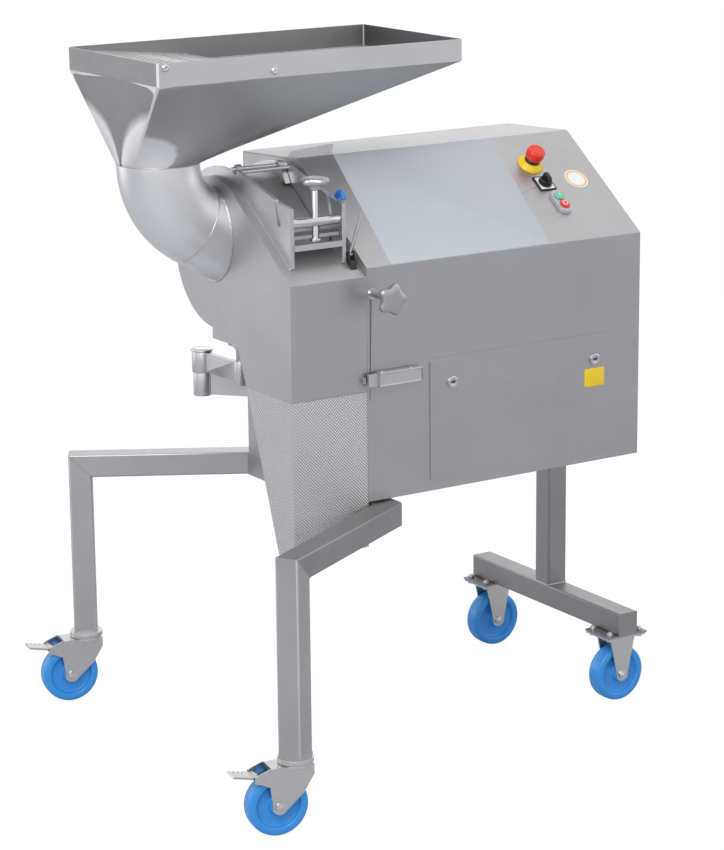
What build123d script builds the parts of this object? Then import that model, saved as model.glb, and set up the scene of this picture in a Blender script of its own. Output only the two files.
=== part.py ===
from build123d import *
from math import atan2, cos, degrees, hypot, radians, sin, sqrt, tan
import os

os.makedirs("parts", exist_ok=True)

# Stand of square tube
tube = 50.0
tube_wall = 3.0
tube_corner = 4.0
frame_top = 561.0
splay = 30.0
leg_corner_x = -326.0
front_corner_y = -252.0
back_corner_y = 699.0
cross_tube_x = 12.0
end_cap = 4.0
pad = 4.0
post_x = 643.0
post_y = 251.0
foot_front = -8.0
foot_back = 544.0

# Castors
castor_height = 155.0
wheel_radius = 62.5
wheel_width = 38.0
trail = 42.0
castor_turn = 11.0
axle_radius = 6.0
running_gap = 0.05
ring_radius = 36.0
fork_gap = 4.0
fork_sheet = 3.0
castor_plate_x = 105.0
castor_plate_y = 85.0
castor_holes_x = 80.0
castor_holes_y = 60.0
castor_hole_radius = 4.5
castor_plate_sheet = 4.0
kingpin_radius = 10.0
kingpin_bolt_radius = 6.5
pedal_arm = 42.0
pedal_length = 52.0
tread_round = 5.0
web_half = 9.0
web_radius = 44.0
hub_radius = 18.0
axle_head = 4.0
pedal_grooves = 3

# Drive housing
sheet = 3.0
housing_length = 693.0
housing_depth = 478.0
housing_floor = frame_top + pad
front_fold = 1049.0
top_front_y = 261.0
top_front_z = 1237.0
top_back_z = 1227.0
bulkhead_sheet = 6.0
door_left, door_right = 151.0, 623.0
door_bottom, door_top = 587.0, 844.0
door_lap = 20.0
door_sheet = 2.0
lock_inset_x = 55.0
lock_inset_z = 55.0
lock_radius = 13.0

# Cutting casing
casing_length = 179.0
casing_radius = 157.0
drum_y = 300.0
drum_z = 1054.0
casing_bottom = 874.0
chute_joint = 796.0
chute_joint_y = 178.0
shelf_front_y = 209.0
shelf_back_y = 310.0
chute_bottom = 470.0
chute_bottom_y = 62.0
seam_gap = 0.5

# Feed pipe and hopper
pipe_radius = 84.15
pipe_wall = 3.0
bend_radius = 152.0
bend_angle = 60.0
pipe_x = -299.0
pipe_y = 305.0
pipe_top = 1250.0
rim_left, rim_right = -397.0, 317.0
rim_front, rim_back = 119.0, 491.0
rim_bottom, rim_top = 1427.0, 1472.0
hopper_sheet = 3.0
rim_corner = 4.0
quadrant_half = 2.0

# Gate clamp on the sloped top
cheek_sheet = 9.0
left_cheek_x = -157.0
right_cheek_x = -36.0
cheek_radius = 176.0
cheek_front_y = 33.0
gate_sheet = 6.0
gate_gap = 1.0
gate_nose_gap = 5.0
gate_rod_y, gate_rod_z = 258.0, 1228.0
rod_radius = 5.0
crossbar_y, crossbar_z = 45.0, 1146.0
cheek_top_z = crossbar_z + 32.0
lip_high, lip_low = crossbar_z - 25.0, crossbar_z - 32.0
knob_base = crossbar_z + 64.0
front_bar_drop = 47.0
crossbar_radius = 10.0
journal_radius = 7.0
spindle_radius = 6.0

# Drum, knives and drive
drum_radius = 128.0
drum_wall = 8.0
shaft_radius = 20.0
spindle_y, disc_z, crosscut_z = 105.0, 918.0, 1013.0
knife_radius = 42.0
knife_shaft_radius = 10.0
blade_inset = 2.0
motor_y, motor_z = 240.0, 700.0
motor_radius = 88.0
motor_start = 150.0
motor_length = 250.0

# Centre of the floor plan, measured from the seam between casing and housing and from the front face
half = tube / 2
half_wheel = wheel_width / 2
cb, sb = cos(radians(castor_turn)), sin(radians(castor_turn))
leg_near, leg_far = half * (cos(radians(splay)) - sin(radians(splay))), half * (cos(radians(splay)) + sin(radians(splay)))
pedal_reach = trail + pedal_arm + pedal_length
left_end = leg_corner_x + leg_near - cb * pedal_reach - sb * half_wheel
right_end = post_x + half + wheel_radius
front_end = front_corner_y + leg_far - ring_radius
back_end = back_corner_y + leg_near + sb * pedal_reach + cb * half_wheel
datum_x = -(left_end + right_end) / 2
datum_y = -(front_end + back_end) / 2

panel_angle = degrees(atan2(top_front_z - front_fold, top_front_y))
ca, sa = cos(radians(panel_angle)), sin(radians(panel_angle))
tangent_y = drum_y - casing_radius * sa
tangent_z = drum_z + casing_radius * ca
casing_fold = tangent_z - tangent_y * tan(radians(panel_angle))

floor = Plane(origin=(datum_x, datum_y, 0))
side = Plane(origin=(datum_x, datum_y, 0), x_dir=(0, 1, 0), z_dir=(1, 0, 0))
front = Plane(origin=(datum_x, datum_y, 0), x_dir=(1, 0, 0), z_dir=(0, -1, 0))
panel = Plane(origin=(datum_x, datum_y, front_fold), x_dir=(1, 0, 0), z_dir=(0, -sa, ca))



def rod(plane, u, v, radius, start, end, mode=Mode.ADD):
    """Round bar or bore along the plane's normal, between two distances from it."""
    with BuildSketch(plane.offset(start)) as profile:
        with Locations((u, v)):
            Circle(radius)
    extrude(profile.sketch, amount=end - start, mode=mode)


def block(plane, u0, u1, v0, v1, start, end, mode=Mode.ADD):
    """Rectangular block between two distances along the plane's normal."""
    with BuildSketch(plane.offset(start)) as profile:
        with Locations(((u0 + u1) / 2, (v0 + v1) / 2)):
            Rectangle(u1 - u0, v1 - v0)
    extrude(profile.sketch, amount=end - start, mode=mode)


def slab(plane, corners, start, end, mode=Mode.ADD):
    """Plate with a straight-sided outline, between two distances along the plane's normal."""
    with BuildSketch(plane.offset(start)) as profile:
        with BuildLine():
            Polyline(*corners, close=True)
        make_face()
    extrude(profile.sketch, amount=end - start, mode=mode)


# Legs and beams: one splayed pair in front, one behind, mitred at the top
leg_bottom = castor_height + end_cap
beam_bottom = frame_top - tube
inner = half - tube_wall
cross_right = cross_tube_x + tube
leg_places = {}
for name, corner_y, turn in (("front", front_corner_y, splay), ("back", back_corner_y, -splay)):
    cu, su = cos(radians(turn)), sin(radians(turn))
    leg_x, leg_y = leg_corner_x + half * (cu - su), corner_y + half * (su + cu)
    leg_places[name] = (datum_x + leg_x, datum_y + leg_y)
    elevation = Plane(origin=(*leg_places[name], 0), x_dir=(cu, su, 0), z_dir=(su, -cu, 0))
    beam_end = (cross_right - leg_x) / cu + half

    with BuildPart() as leg_bore:
        slab(elevation, ((-inner, leg_bottom), (inner, leg_bottom), (inner, frame_top - half - inner),
                         (-inner, frame_top - half + inner)), -inner, inner)

    with BuildPart() as leg:
        slab(elevation, ((-half, leg_bottom), (half, leg_bottom), (half, beam_bottom), (-half, frame_top)),
             -half, half)
        fillet(leg.edges().filter_by(Axis.Z), tube_corner)
        add(leg_bore.part, mode=Mode.SUBTRACT)
        block(elevation, -half, half, castor_height, leg_bottom, -half, half)
        with BuildSketch(Plane(origin=(*leg_places[name], castor_height))):
            Circle(kingpin_bolt_radius)
        extrude(amount=end_cap, mode=Mode.SUBTRACT)
    leg.part.label = f"{name}_leg"
    export_step(leg.part, f"parts/{name}_leg.step")

    with BuildPart() as beam_bore:
        slab(elevation, ((inner, frame_top - half - inner), (-inner, frame_top - half + inner),
                         (beam_end, frame_top - half + inner), (beam_end, frame_top - half - inner)), -inner,
                         inner)
        block(side, -1000, 1000, 0, frame_top, cross_right - tube_wall, cross_right + tube * 2, Mode.SUBTRACT)

    with BuildPart() as beam:
        slab(elevation,
             ((half, beam_bottom), (-half, frame_top), (beam_end, frame_top), (beam_end, beam_bottom)),
             -half, half)
        fillet(beam.edges().filter_by(Axis(elevation.origin, elevation.x_dir)), tube_corner)
        add(beam_bore.part, mode=Mode.SUBTRACT)
        block(side, -1000, 1000, 0, frame_top, cross_right, cross_right + tube * 2, Mode.SUBTRACT)
    beam.part.label = f"{name}_beam"
    export_step(beam.part, f"parts/{name}_beam.step")


def front_beam_y(x):
    """Rear face of the front beam."""
    t = radians(splay)
    return front_corner_y + tube * cos(t) + (x - leg_corner_x + tube * sin(t)) * tan(t)


def back_beam_y(x):
    """Front face of the rear beam."""
    return back_corner_y - (x - leg_corner_x) * tan(radians(splay))


# Cross tube between the beams, with the pad that carries the left end of the housing
with BuildPart() as cross_tube:
    for inset, mode in ((0, Mode.ADD), (tube_wall, Mode.SUBTRACT)):
        left, right = cross_tube_x + inset, cross_right - inset
        slab(floor, ((left, front_beam_y(left)), (right, front_beam_y(right)), (right, back_beam_y(right)),
                     (left, back_beam_y(left))), beam_bottom + inset, frame_top - inset, mode)
    block(floor, cross_tube_x, cross_right, front_beam_y(cross_right) + pad, housing_depth - tube / 2,
          frame_top, housing_floor)
cross_tube.part.label = "cross_tube"
export_step(cross_tube.part, "parts/cross_tube.step")

# Rear post on its cross foot, with the plate that carries the housing
post_plate_reach = 30.0
foot_bottom = castor_height + castor_plate_sheet
foot_top = foot_bottom + tube
with BuildPart() as rear_post:
    block(floor, post_x, post_x + tube, post_y, post_y + tube, foot_top, frame_top)
    fillet(rear_post.edges().filter_by(Axis.Z), tube_corner)
    block(floor, post_x + tube_wall, post_x + tube - tube_wall, post_y + tube_wall, post_y + tube - tube_wall,
          foot_top, frame_top, Mode.SUBTRACT)
    block(floor, post_x - post_plate_reach, post_x + tube, post_y - post_plate_reach,
          post_y + tube + post_plate_reach,
          frame_top, housing_floor)
rear_post.part.label = "rear_post"
export_step(rear_post.part, "parts/rear_post.step")

castor_y = {"front": foot_front + castor_plate_y / 2, "back": foot_back - castor_plate_y / 2}
foot_x = post_x + half
with BuildPart() as rear_foot:
    block(floor, post_x, post_x + tube, foot_front, foot_back, foot_bottom, foot_top)
    fillet(rear_foot.edges().filter_by(Axis.Y), tube_corner)
    block(floor, post_x + tube_wall, post_x + tube - tube_wall, foot_front + tube_wall, foot_back - tube_wall,
          foot_bottom + tube_wall, foot_top - tube_wall, Mode.SUBTRACT)
    for y in castor_y.values():
        block(floor, foot_x - castor_plate_x / 2, foot_x + castor_plate_x / 2, y - castor_plate_y / 2,
              y + castor_plate_y / 2, castor_height, foot_bottom)
        for dx in (-castor_holes_x / 2, castor_holes_x / 2):
            for dy in (-castor_holes_y / 2, castor_holes_y / 2):
                rod(floor, foot_x + dx, y + dy, castor_hole_radius, castor_height, foot_bottom, Mode.SUBTRACT)
rear_foot.part.label = "rear_foot"
export_step(rear_foot.part, "parts/rear_foot.step")

# Braked swivel castors under the legs
half_hub = half_wheel + 2.5
half_fork = half_hub + 0.5
head_bottom = castor_height - 12.0
crown_top = head_bottom - 0.2
crown_bottom = crown_top - 8.0
pedal_s, pedal_z = trail + pedal_arm, wheel_radius * 2 - 2.0
pedal_pin_radius = 4.0


def wheel_at(plane, u):
    """Wheel with a recessed web, a hub boss and a bore, rolling in the plane."""
    rod(plane, u, wheel_radius, wheel_radius, -half_wheel, half_wheel)
    fillet(edges().filter_by(GeomType.CIRCLE), tread_round)
    for near, far in ((-half_wheel, web_half - half_wheel), (half_wheel - web_half, half_wheel)):
        rod(plane, u, wheel_radius, web_radius, near, far, Mode.SUBTRACT)
    rod(plane, u, wheel_radius, hub_radius, -half_hub, half_hub)
    rod(plane, u, wheel_radius, axle_radius + running_gap, -half_hub, half_hub, Mode.SUBTRACT)


def axle_at(plane, u):
    """Axle bolt with its two heads outside the fork."""
    rod(plane, u, wheel_radius, axle_radius, -half_fork - fork_sheet, half_fork + fork_sheet)
    for near in (-half_fork - fork_sheet - axle_head, half_fork + fork_sheet):
        rod(plane, u, wheel_radius, axle_radius * 1.7, near, near + axle_head)


for name, (px, py) in leg_places.items():
    plan = Plane(origin=(px, py, 0))
    rolling = Plane(origin=(px, py, 0), x_dir=(-cb, sb, 0), z_dir=(sb, cb, 0))

    with BuildPart() as head:
        rod(plan, 0, 0, ring_radius, head_bottom, castor_height)
        chamfer(head.edges().sort_by(Axis.Z)[0], 2.0)
        rod(plan, 0, 0, kingpin_radius + running_gap, head_bottom, castor_height - 2.0, Mode.SUBTRACT)
        rod(plan, 0, 0, kingpin_bolt_radius - 0.5, castor_height, leg_bottom + 12.0)
        rod(plan, 0, 0, kingpin_bolt_radius + 4.0, leg_bottom, leg_bottom + 8.0)
    head.part.label = f"{name}_castor_head"
    export_step(head.part, f"parts/{name}_castor_head.step")

    with BuildPart() as fork:
        rod(plan, 0, 0, ring_radius - 3.0, crown_bottom, crown_top)
        rod(plan, 0, 0, kingpin_radius, crown_top, castor_height - 3.0)
        for near in (-half_fork - fork_sheet, half_fork):
            slab(rolling,
                 ((-30, crown_top), (-30, 122), (-8, 86), (trail - 13, wheel_radius - 9),
                  (trail + 13, wheel_radius - 9),
                           (trail + 20, 106), (pedal_s - 4, pedal_z - 9), (pedal_s + 8, pedal_z - 6),
                           (pedal_s + 8, pedal_z + 8),
                           (trail + 20, crown_top), (20, crown_top)), near, near + fork_sheet)
            rod(rolling, trail, wheel_radius, axle_radius * 2.6, near, near + fork_sheet)
            rod(rolling, pedal_s, pedal_z, pedal_pin_radius + running_gap, near, near + fork_sheet,
                Mode.SUBTRACT)
        block(rolling, -28, trail + 16, crown_bottom, crown_top, -half_fork - fork_sheet,
              half_fork + fork_sheet)
        axle_at(rolling, trail)
    fork.part.label = f"{name}_castor_fork"
    export_step(fork.part, f"parts/{name}_castor_fork.step")

    with BuildPart() as wheel:
        wheel_at(rolling, trail)
    wheel.part.label = f"{name}_swivel_wheel"
    export_step(wheel.part, f"parts/{name}_swivel_wheel.step")

    with BuildPart() as pedal:
        rod(rolling, pedal_s, pedal_z, pedal_pin_radius, -half_fork - fork_sheet, half_fork + fork_sheet)
        rod(rolling, pedal_s, pedal_z, pedal_pin_radius * 2, -half_wheel, half_wheel)
        slab(rolling,
             ((pedal_s - 4, pedal_z + 4), (pedal_s + pedal_length - 2, pedal_z + 14),
              (pedal_s + pedal_length, pedal_z + 10),
                       (pedal_s + 2, pedal_z)), -half_wheel, half_wheel)
        for step in range(pedal_grooves):
            block(rolling, pedal_s + 22 + step * 9, pedal_s + 26 + step * 9, pedal_z, pedal_z + 20,
                  half_wheel - 12, half_wheel,
                  Mode.SUBTRACT)
    pedal.part.label = f"{name}_brake_pedal"
    export_step(pedal.part, f"parts/{name}_brake_pedal.step")

# Fixed castors under the cross foot
for name, y in castor_y.items():
    plan = Plane(origin=(datum_x + foot_x, datum_y + y, 0))
    rolling = Plane(origin=plan.origin, x_dir=(1, 0, 0), z_dir=(0, -1, 0))
    plate_bottom = castor_height - castor_plate_sheet

    with BuildPart() as bracket:
        block(plan, -castor_plate_x / 2, castor_plate_x / 2, -castor_plate_y / 2, castor_plate_y / 2,
              plate_bottom, castor_height)
        fillet(bracket.edges().filter_by(Axis.Z), 6.0)
        for near in (-half_fork - fork_sheet, half_fork):
            slab(rolling,
                 ((-34, plate_bottom), (-13, wheel_radius - 9), (13, wheel_radius - 9), (34, plate_bottom)),
                 near, near + fork_sheet)
            rod(rolling, 0, wheel_radius, axle_radius * 2.6, near, near + fork_sheet)
        axle_at(rolling, 0)
        for dx in (-castor_holes_x / 2, castor_holes_x / 2):
            for dy in (-castor_holes_y / 2, castor_holes_y / 2):
                rod(plan, dx, dy, castor_hole_radius - 0.5, castor_height, foot_bottom + 9.0)
                rod(plan, dx, dy, castor_hole_radius + 2.5, foot_bottom, foot_bottom + 6.0)
                rod(plan, dx, dy, castor_hole_radius + 2.5, plate_bottom - 5.0, plate_bottom)
    bracket.part.label = f"{name}_fixed_bracket"
    export_step(bracket.part, f"parts/{name}_fixed_bracket.step")

    with BuildPart() as wheel:
        wheel_at(rolling, 0)
    wheel.part.label = f"{name}_fixed_wheel"
    export_step(wheel.part, f"parts/{name}_fixed_wheel.step")



def housing_outline(inset):
    """Section of the housing sheet, moved inwards by the inset."""
    top_slope = (top_front_z - top_back_z) / (housing_depth - top_front_y)
    rise = tan(radians(panel_angle))
    fold_z = front_fold + inset * rise - inset / ca
    top_z = top_front_z - inset * hypot(1, top_slope)
    top_y = (top_z + top_slope * top_front_y - fold_z + inset * rise) / (rise + top_slope)
    return ((inset, housing_floor), (inset, fold_z), (top_y, top_z - top_slope * (top_y - top_front_y)),
            (housing_depth - inset, top_back_z + (top_z - top_front_z) + top_slope * inset),
            (housing_depth - inset, housing_floor))


# Positions on the sloped panel: across, and up the slope from the fold
estop_x, estop_s = 539.0, 230.0
selector_x, selector_s = 541.0, 170.0
buttons_x, buttons_s = 547.0, 110.0
button_step = 12.5
panel_bore = 11.0
lock_z = door_top - lock_inset_z
lock_places = {"left": door_left + lock_inset_x, "right": door_right - lock_inset_x + 4.0}
knob_shaft_x, knob_shaft_z = 13.0, 995.0
knob_shaft_radius = 6.0
cam_reach = 48.0

# Drive housing: bent sheet with the door opening and the holes of the controls
with BuildPart() as housing_shell:
    slab(side, housing_outline(0), 0, housing_length)
    slab(side, housing_outline(sheet), 0, housing_length, Mode.SUBTRACT)
    block(side, sheet, housing_depth - sheet, housing_floor - 1, housing_floor + sheet, 0, housing_length,
          Mode.SUBTRACT)
    block(front, door_left + door_lap, door_right - door_lap, door_bottom + door_lap, door_top - door_lap,
          -sheet * 2, 1, Mode.SUBTRACT)
    rod(front, knob_shaft_x, knob_shaft_z, knob_shaft_radius + running_gap, -sheet * 2, 1, Mode.SUBTRACT)
    for u, v in ((estop_x, estop_s), (selector_x, selector_s), (buttons_x, buttons_s + button_step),
                 (buttons_x, buttons_s - button_step)):
        rod(panel, u, v, panel_bore, -sheet * 2, 1, Mode.SUBTRACT)
housing_shell.part.label = "housing_shell"
export_step(housing_shell.part, "parts/housing_shell.step")

# Floor and right-hand end wall, welded together and into the bent sheet
with BuildPart() as housing_pan:
    block(floor, bulkhead_sheet, housing_length - sheet, sheet, housing_depth - sheet, housing_floor,
          housing_floor + sheet)
    slab(side, housing_outline(sheet), housing_length - sheet, housing_length)
housing_pan.part.label = "housing_pan"
export_step(housing_pan.part, "parts/housing_pan.step")

# Bulkhead with its welded bearing tubes and the threaded block of the clamp knob
bearing_radius = 45.0
bearing_depth = 46.0
knife_bearing_radius = 24.0
knife_bearing_depth = 36.0
flange = 8.0
flange_lap = 20.0
clamp_block_depth = 24.0
with BuildPart() as bulkhead:
    slab(side, housing_outline(sheet), 0, bulkhead_sheet)
    block(front, bulkhead_sheet, knob_shaft_x + 17, knob_shaft_z - 18, knob_shaft_z + 18, -clamp_block_depth,
          -sheet)
    rod(front, knob_shaft_x, knob_shaft_z, knob_shaft_radius + running_gap, -clamp_block_depth, -sheet,
        Mode.SUBTRACT)
    for y, z, radius, depth, bore in ((drum_y, drum_z, bearing_radius, bearing_depth, shaft_radius),
                                      (spindle_y, disc_z, knife_bearing_radius, knife_bearing_depth,
                                       knife_shaft_radius),
                                      (spindle_y, crosscut_z, knife_bearing_radius, knife_bearing_depth,
                                       knife_shaft_radius)):
        rod(side, y, z, radius, 0, depth)
        rod(side, y, z, radius + flange_lap, bulkhead_sheet, bulkhead_sheet + flange)
        rod(side, y, z, bore + running_gap, 0, depth, Mode.SUBTRACT)
bulkhead.part.label = "bulkhead"
export_step(bulkhead.part, "parts/bulkhead.step")

# Main shaft with its pulleys, and the impeller on its end
drum_open, drum_back = left_cheek_x + 11.0, -30.0
knife_belt_x, main_belt_x = 48.0, 92.0
belt_width = 20.0
belt_gap = 0.3
belt_sheet = 4.0
pulley_width = belt_width + 4.0
small_pulley, shaft_pulley, driven_pulley, motor_pulley = 26.0, 70.0, 100.0, 40.0
with BuildPart() as main_shaft:
    rod(side, drum_y, drum_z, shaft_radius, drum_back - 12, main_belt_x + pulley_width + 14)
    rod(side, drum_y, drum_z, shaft_radius + 12, bearing_depth + 1, main_belt_x)
    rod(side, drum_y, drum_z, shaft_pulley, knife_belt_x, knife_belt_x + pulley_width)
    rod(side, drum_y, drum_z, driven_pulley, main_belt_x, main_belt_x + pulley_width)
main_shaft.part.label = "main_shaft"
export_step(main_shaft.part, "parts/main_shaft.step")

paddles = 3
impeller_radius = drum_radius - drum_wall - 2.0
with BuildPart() as impeller:
    rod(side, drum_y, drum_z, impeller_radius, drum_back - 8, drum_back - 2)
    rod(side, drum_y, drum_z, 34, drum_back - 30, drum_back - 2)
    with BuildSketch(Plane(origin=(datum_x + drum_open + 4, datum_y + drum_y, drum_z), x_dir=(0, 1, 0),
                           z_dir=(1, 0, 0))):
        with PolarLocations(impeller_radius - 42, paddles):
            Rectangle(80, 8)
    extrude(amount=drum_back - 8 - drum_open - 4)
    rod(side, drum_y, drum_z, shaft_radius, drum_back - 12, drum_back - 2, Mode.SUBTRACT)
impeller.part.label = "impeller"
export_step(impeller.part, "parts/impeller.step")

# Slicing drum, open at the front, and its knife
slot_y, slot_half = drum_y - drum_radius, 34.0
slot_low = drum_z - slot_half
with BuildPart() as slicing_drum:
    rod(side, drum_y, drum_z, drum_radius, drum_open, drum_back + 6)
    rod(side, drum_y, drum_z, 75, drum_back + 6, 0)
    rod(side, drum_y, drum_z, drum_radius - drum_wall, drum_open, drum_back, Mode.SUBTRACT)
    rod(side, drum_y, drum_z, bearing_radius + 10, drum_back, 0, Mode.SUBTRACT)
    block(side, slot_y - 5, slot_y + 40, slot_low, slot_low + slot_half * 2, drum_open + 6, drum_back - 6,
          Mode.SUBTRACT)
slicing_drum.part.label = "slicing_drum"
export_step(slicing_drum.part, "parts/slicing_drum.step")

knife_root_y = drum_y - sqrt(drum_radius ** 2 - slot_half ** 2)
with BuildPart() as slicing_knife:
    slab(side,
         ((knife_root_y - 6, slot_low - 30), (knife_root_y + 12, slot_low - 30),
          (knife_root_y + 2, slot_low + 10),
                (knife_root_y, slot_low + 16), (knife_root_y - 3, slot_low + 6)), drum_open + 8, drum_back - 8)
    rod(side, drum_y, drum_z, drum_radius, drum_open, drum_back, Mode.SUBTRACT)
slicing_knife.part.label = "slicing_knife"
export_step(slicing_knife.part, "parts/slicing_knife.step")

# Circular-knife spindle and crosscut spindle, each with its pulley
discs = 7
blades = 5
disc_pitch = (drum_back - drum_open - 20) / (discs - 1)
with BuildPart() as disc_spindle:
    rod(side, spindle_y, disc_z, knife_shaft_radius, drum_open + 6, knife_belt_x + pulley_width)
    rod(side, spindle_y, disc_z, small_pulley, knife_belt_x, knife_belt_x + pulley_width)
    for i in range(discs):
        rod(side, spindle_y, disc_z, knife_radius, drum_open + 9 + i * disc_pitch,
            drum_open + 11 + i * disc_pitch)
disc_spindle.part.label = "disc_spindle"
export_step(disc_spindle.part, "parts/disc_spindle.step")

with BuildPart() as crosscut_spindle:
    rod(side, spindle_y, crosscut_z, knife_shaft_radius, drum_open + 6, knife_belt_x + pulley_width)
    rod(side, spindle_y, crosscut_z, small_pulley, knife_belt_x, knife_belt_x + pulley_width)
    rod(side, spindle_y, crosscut_z, knife_shaft_radius + 10, drum_open + 8, drum_back + 2)
    with BuildSketch(Plane(origin=(datum_x + drum_open + 8, datum_y + spindle_y, crosscut_z), x_dir=(0, 1, 0),
                           z_dir=(1, 0, 0))):
        with PolarLocations(knife_radius / 2 + 9, blades):
            Rectangle(knife_radius - 18, 2.5)
    extrude(amount=drum_back - drum_open - 6)
crosscut_spindle.part.label = "crosscut_spindle"
export_step(crosscut_spindle.part, "parts/crosscut_spindle.step")

# Belts: each is the hull of its pulleys, clear of them by a small gap
for name, x, wheels in (("main_belt", main_belt_x,
                         ((drum_y, drum_z, driven_pulley), (motor_y, motor_z, motor_pulley))),
                        ("knife_belt", knife_belt_x,
                         ((drum_y, drum_z, shaft_pulley), (spindle_y, disc_z, small_pulley),
                                                      (spindle_y, crosscut_z, small_pulley)))):
    with BuildPart() as belt:
        for grow, mode in ((belt_gap + belt_sheet, Mode.ADD), (belt_gap, Mode.SUBTRACT)):
            with BuildSketch(side.offset(x + 2)) as loop:
                with BuildLine():
                    for y, z, radius in wheels:
                        CenterArc((y, z), radius + grow, 0, 360)
                make_hull()
            extrude(loop.sketch, amount=belt_width, mode=mode)
    belt.part.label = name
    export_step(belt.part, f"parts/{name}.step")

# Motor on its foot
with BuildPart() as motor:
    rod(side, motor_y, motor_z, motor_radius, motor_start, motor_start + motor_length)
    fillet(motor.edges().filter_by(GeomType.CIRCLE), 8)
    block(side, motor_y - 70, motor_y + 70, housing_floor + sheet, motor_z - motor_radius / 2, motor_start + 30,
          motor_start + 200)
    block(side, motor_y - 45, motor_y + 45, motor_z + motor_radius / 2, motor_z + motor_radius + 30,
          motor_start + 90, motor_start + 180)
    rod(side, motor_y, motor_z, 24, motor_start - 6, motor_start)
    rod(side, motor_y, motor_z, 12 + running_gap, motor_start - 6, motor_start + 40, Mode.SUBTRACT)
motor.part.label = "motor"
export_step(motor.part, "parts/motor.step")

with BuildPart() as motor_shaft:
    rod(side, motor_y, motor_z, motor_pulley, main_belt_x, main_belt_x + pulley_width)
    rod(side, motor_y, motor_z, 12, main_belt_x, motor_start + 38)
motor_shaft.part.label = "motor_shaft"
export_step(motor_shaft.part, "parts/motor_shaft.step")

# Access door lapping over its opening, with two quarter-turn locks
with BuildPart() as door:
    block(front, door_left, door_right, door_bottom, door_top, 0, door_sheet)
    fillet(door.edges().filter_by(Axis.Y), 8)
    for x in lock_places.values():
        rod(front, x, lock_z, lock_radius - 2, 0, door_sheet, Mode.SUBTRACT)
door.part.label = "door"
export_step(door.part, "parts/door.step")

for name, x in lock_places.items():
    with BuildPart() as lock:
        rod(front, x, lock_z, lock_radius, door_sheet, door_sheet + 4)
        rod(front, x, lock_z, lock_radius - 2 - running_gap, -sheet - 8, door_sheet)
        block(front, x - 7, x + 7, lock_z - cam_reach, lock_z + 9, -sheet - 6, -sheet - 3)
        block(front, x - 4, x + 4, lock_z - 4, lock_z + 4, door_sheet - 6, door_sheet + 4, Mode.SUBTRACT)
    lock.part.label = f"{name}_lock"
    export_step(lock.part, f"parts/{name}_lock.step")

# Emergency stop, selector and double push button on the slope
with BuildPart() as estop_collar:
    rod(panel, estop_x, estop_s, 29, 0, 14)
    chamfer(estop_collar.faces().sort_by(Axis.Z)[-1].edges(), 2)
    rod(panel, estop_x, estop_s, panel_bore - 0.5, -24, 0)
    rod(panel, estop_x, estop_s, 8 + running_gap, -24, 14, Mode.SUBTRACT)
estop_collar.part.label = "estop_collar"
export_step(estop_collar.part, "parts/estop_collar.step")

with BuildPart() as estop_button:
    rod(panel, estop_x, estop_s, 8, -20, 24)
    rod(panel, estop_x, estop_s, 20, 24, 42)
    fillet(estop_button.edges().filter_by(GeomType.CIRCLE).group_by(SortBy.RADIUS)[-1], 5)
estop_button.part.label = "estop_button"
export_step(estop_button.part, "parts/estop_button.step")

with BuildPart() as selector_plate:
    block(panel, selector_x - 21, selector_x + 21, selector_s - 21, selector_s + 21, 0, 3)
    rod(panel, selector_x, selector_s, 15, 3, 8)
    rod(panel, selector_x, selector_s, panel_bore - 0.5, -24, 0)
    rod(panel, selector_x, selector_s, 5 + running_gap, -24, 8, Mode.SUBTRACT)
selector_plate.part.label = "selector_plate"
export_step(selector_plate.part, "parts/selector_plate.step")

with BuildPart() as selector_knob:
    rod(panel, selector_x, selector_s, 13, 8.2, 13)
    rod(panel, selector_x, selector_s, 5, -20, 8.2)
    block(panel, selector_x - 4.5, selector_x + 4.5, selector_s - 12.5, selector_s + 12.5, 13, 26)
selector_knob.part.label = "selector_knob"
export_step(selector_knob.part, "parts/selector_knob.step")

with BuildPart() as button_bezel:
    with BuildSketch(panel):
        with Locations((buttons_x, buttons_s)):
            SlotOverall(66, 31, rotation=90)
    extrude(amount=12)
    fillet(button_bezel.faces().sort_by(Axis.Z)[-1].edges(), 2)
    for offset_s in (-button_step, button_step):
        rod(panel, buttons_x, buttons_s + offset_s, panel_bore - 0.5, -24, 0)
        rod(panel, buttons_x, buttons_s + offset_s, 9.5 + running_gap, -24, 12, Mode.SUBTRACT)
button_bezel.part.label = "button_bezel"
export_step(button_bezel.part, "parts/button_bezel.step")

for name, offset_s in (("start_button", button_step), ("stop_button", -button_step)):
    with BuildPart() as button:
        rod(panel, buttons_x, buttons_s + offset_s, 9.5, -12, 14)
    button.part.label = name
    export_step(button.part, f"parts/{name}.step")

# Clamp knob beside the seam
knob_reach = 62.0
star_lobes = 6


def star_knob(plane, u, v, start, height, radius):
    """Lobed grip with a hub below it."""
    rod(plane, u, v, radius * 0.42, start, start + height * 0.35)
    rod(plane, u, v, radius * 0.66, start + height * 0.35, start + height)
    with BuildSketch(plane.offset(start + height * 0.35)) as lobes:
        with Locations((u, v)):
            with PolarLocations(radius * 0.7, star_lobes):
                Circle(radius * 0.3)
    extrude(lobes.sketch, amount=height * 0.65)


with BuildPart() as clamp_knob:
    rod(front, knob_shaft_x, knob_shaft_z, knob_shaft_radius, -22, knob_reach)
    star_knob(front, knob_shaft_x, knob_shaft_z, knob_reach - 10, 28, 30)
clamp_knob.part.label = "clamp_knob"
export_step(clamp_knob.part, "parts/clamp_knob.step")

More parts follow.
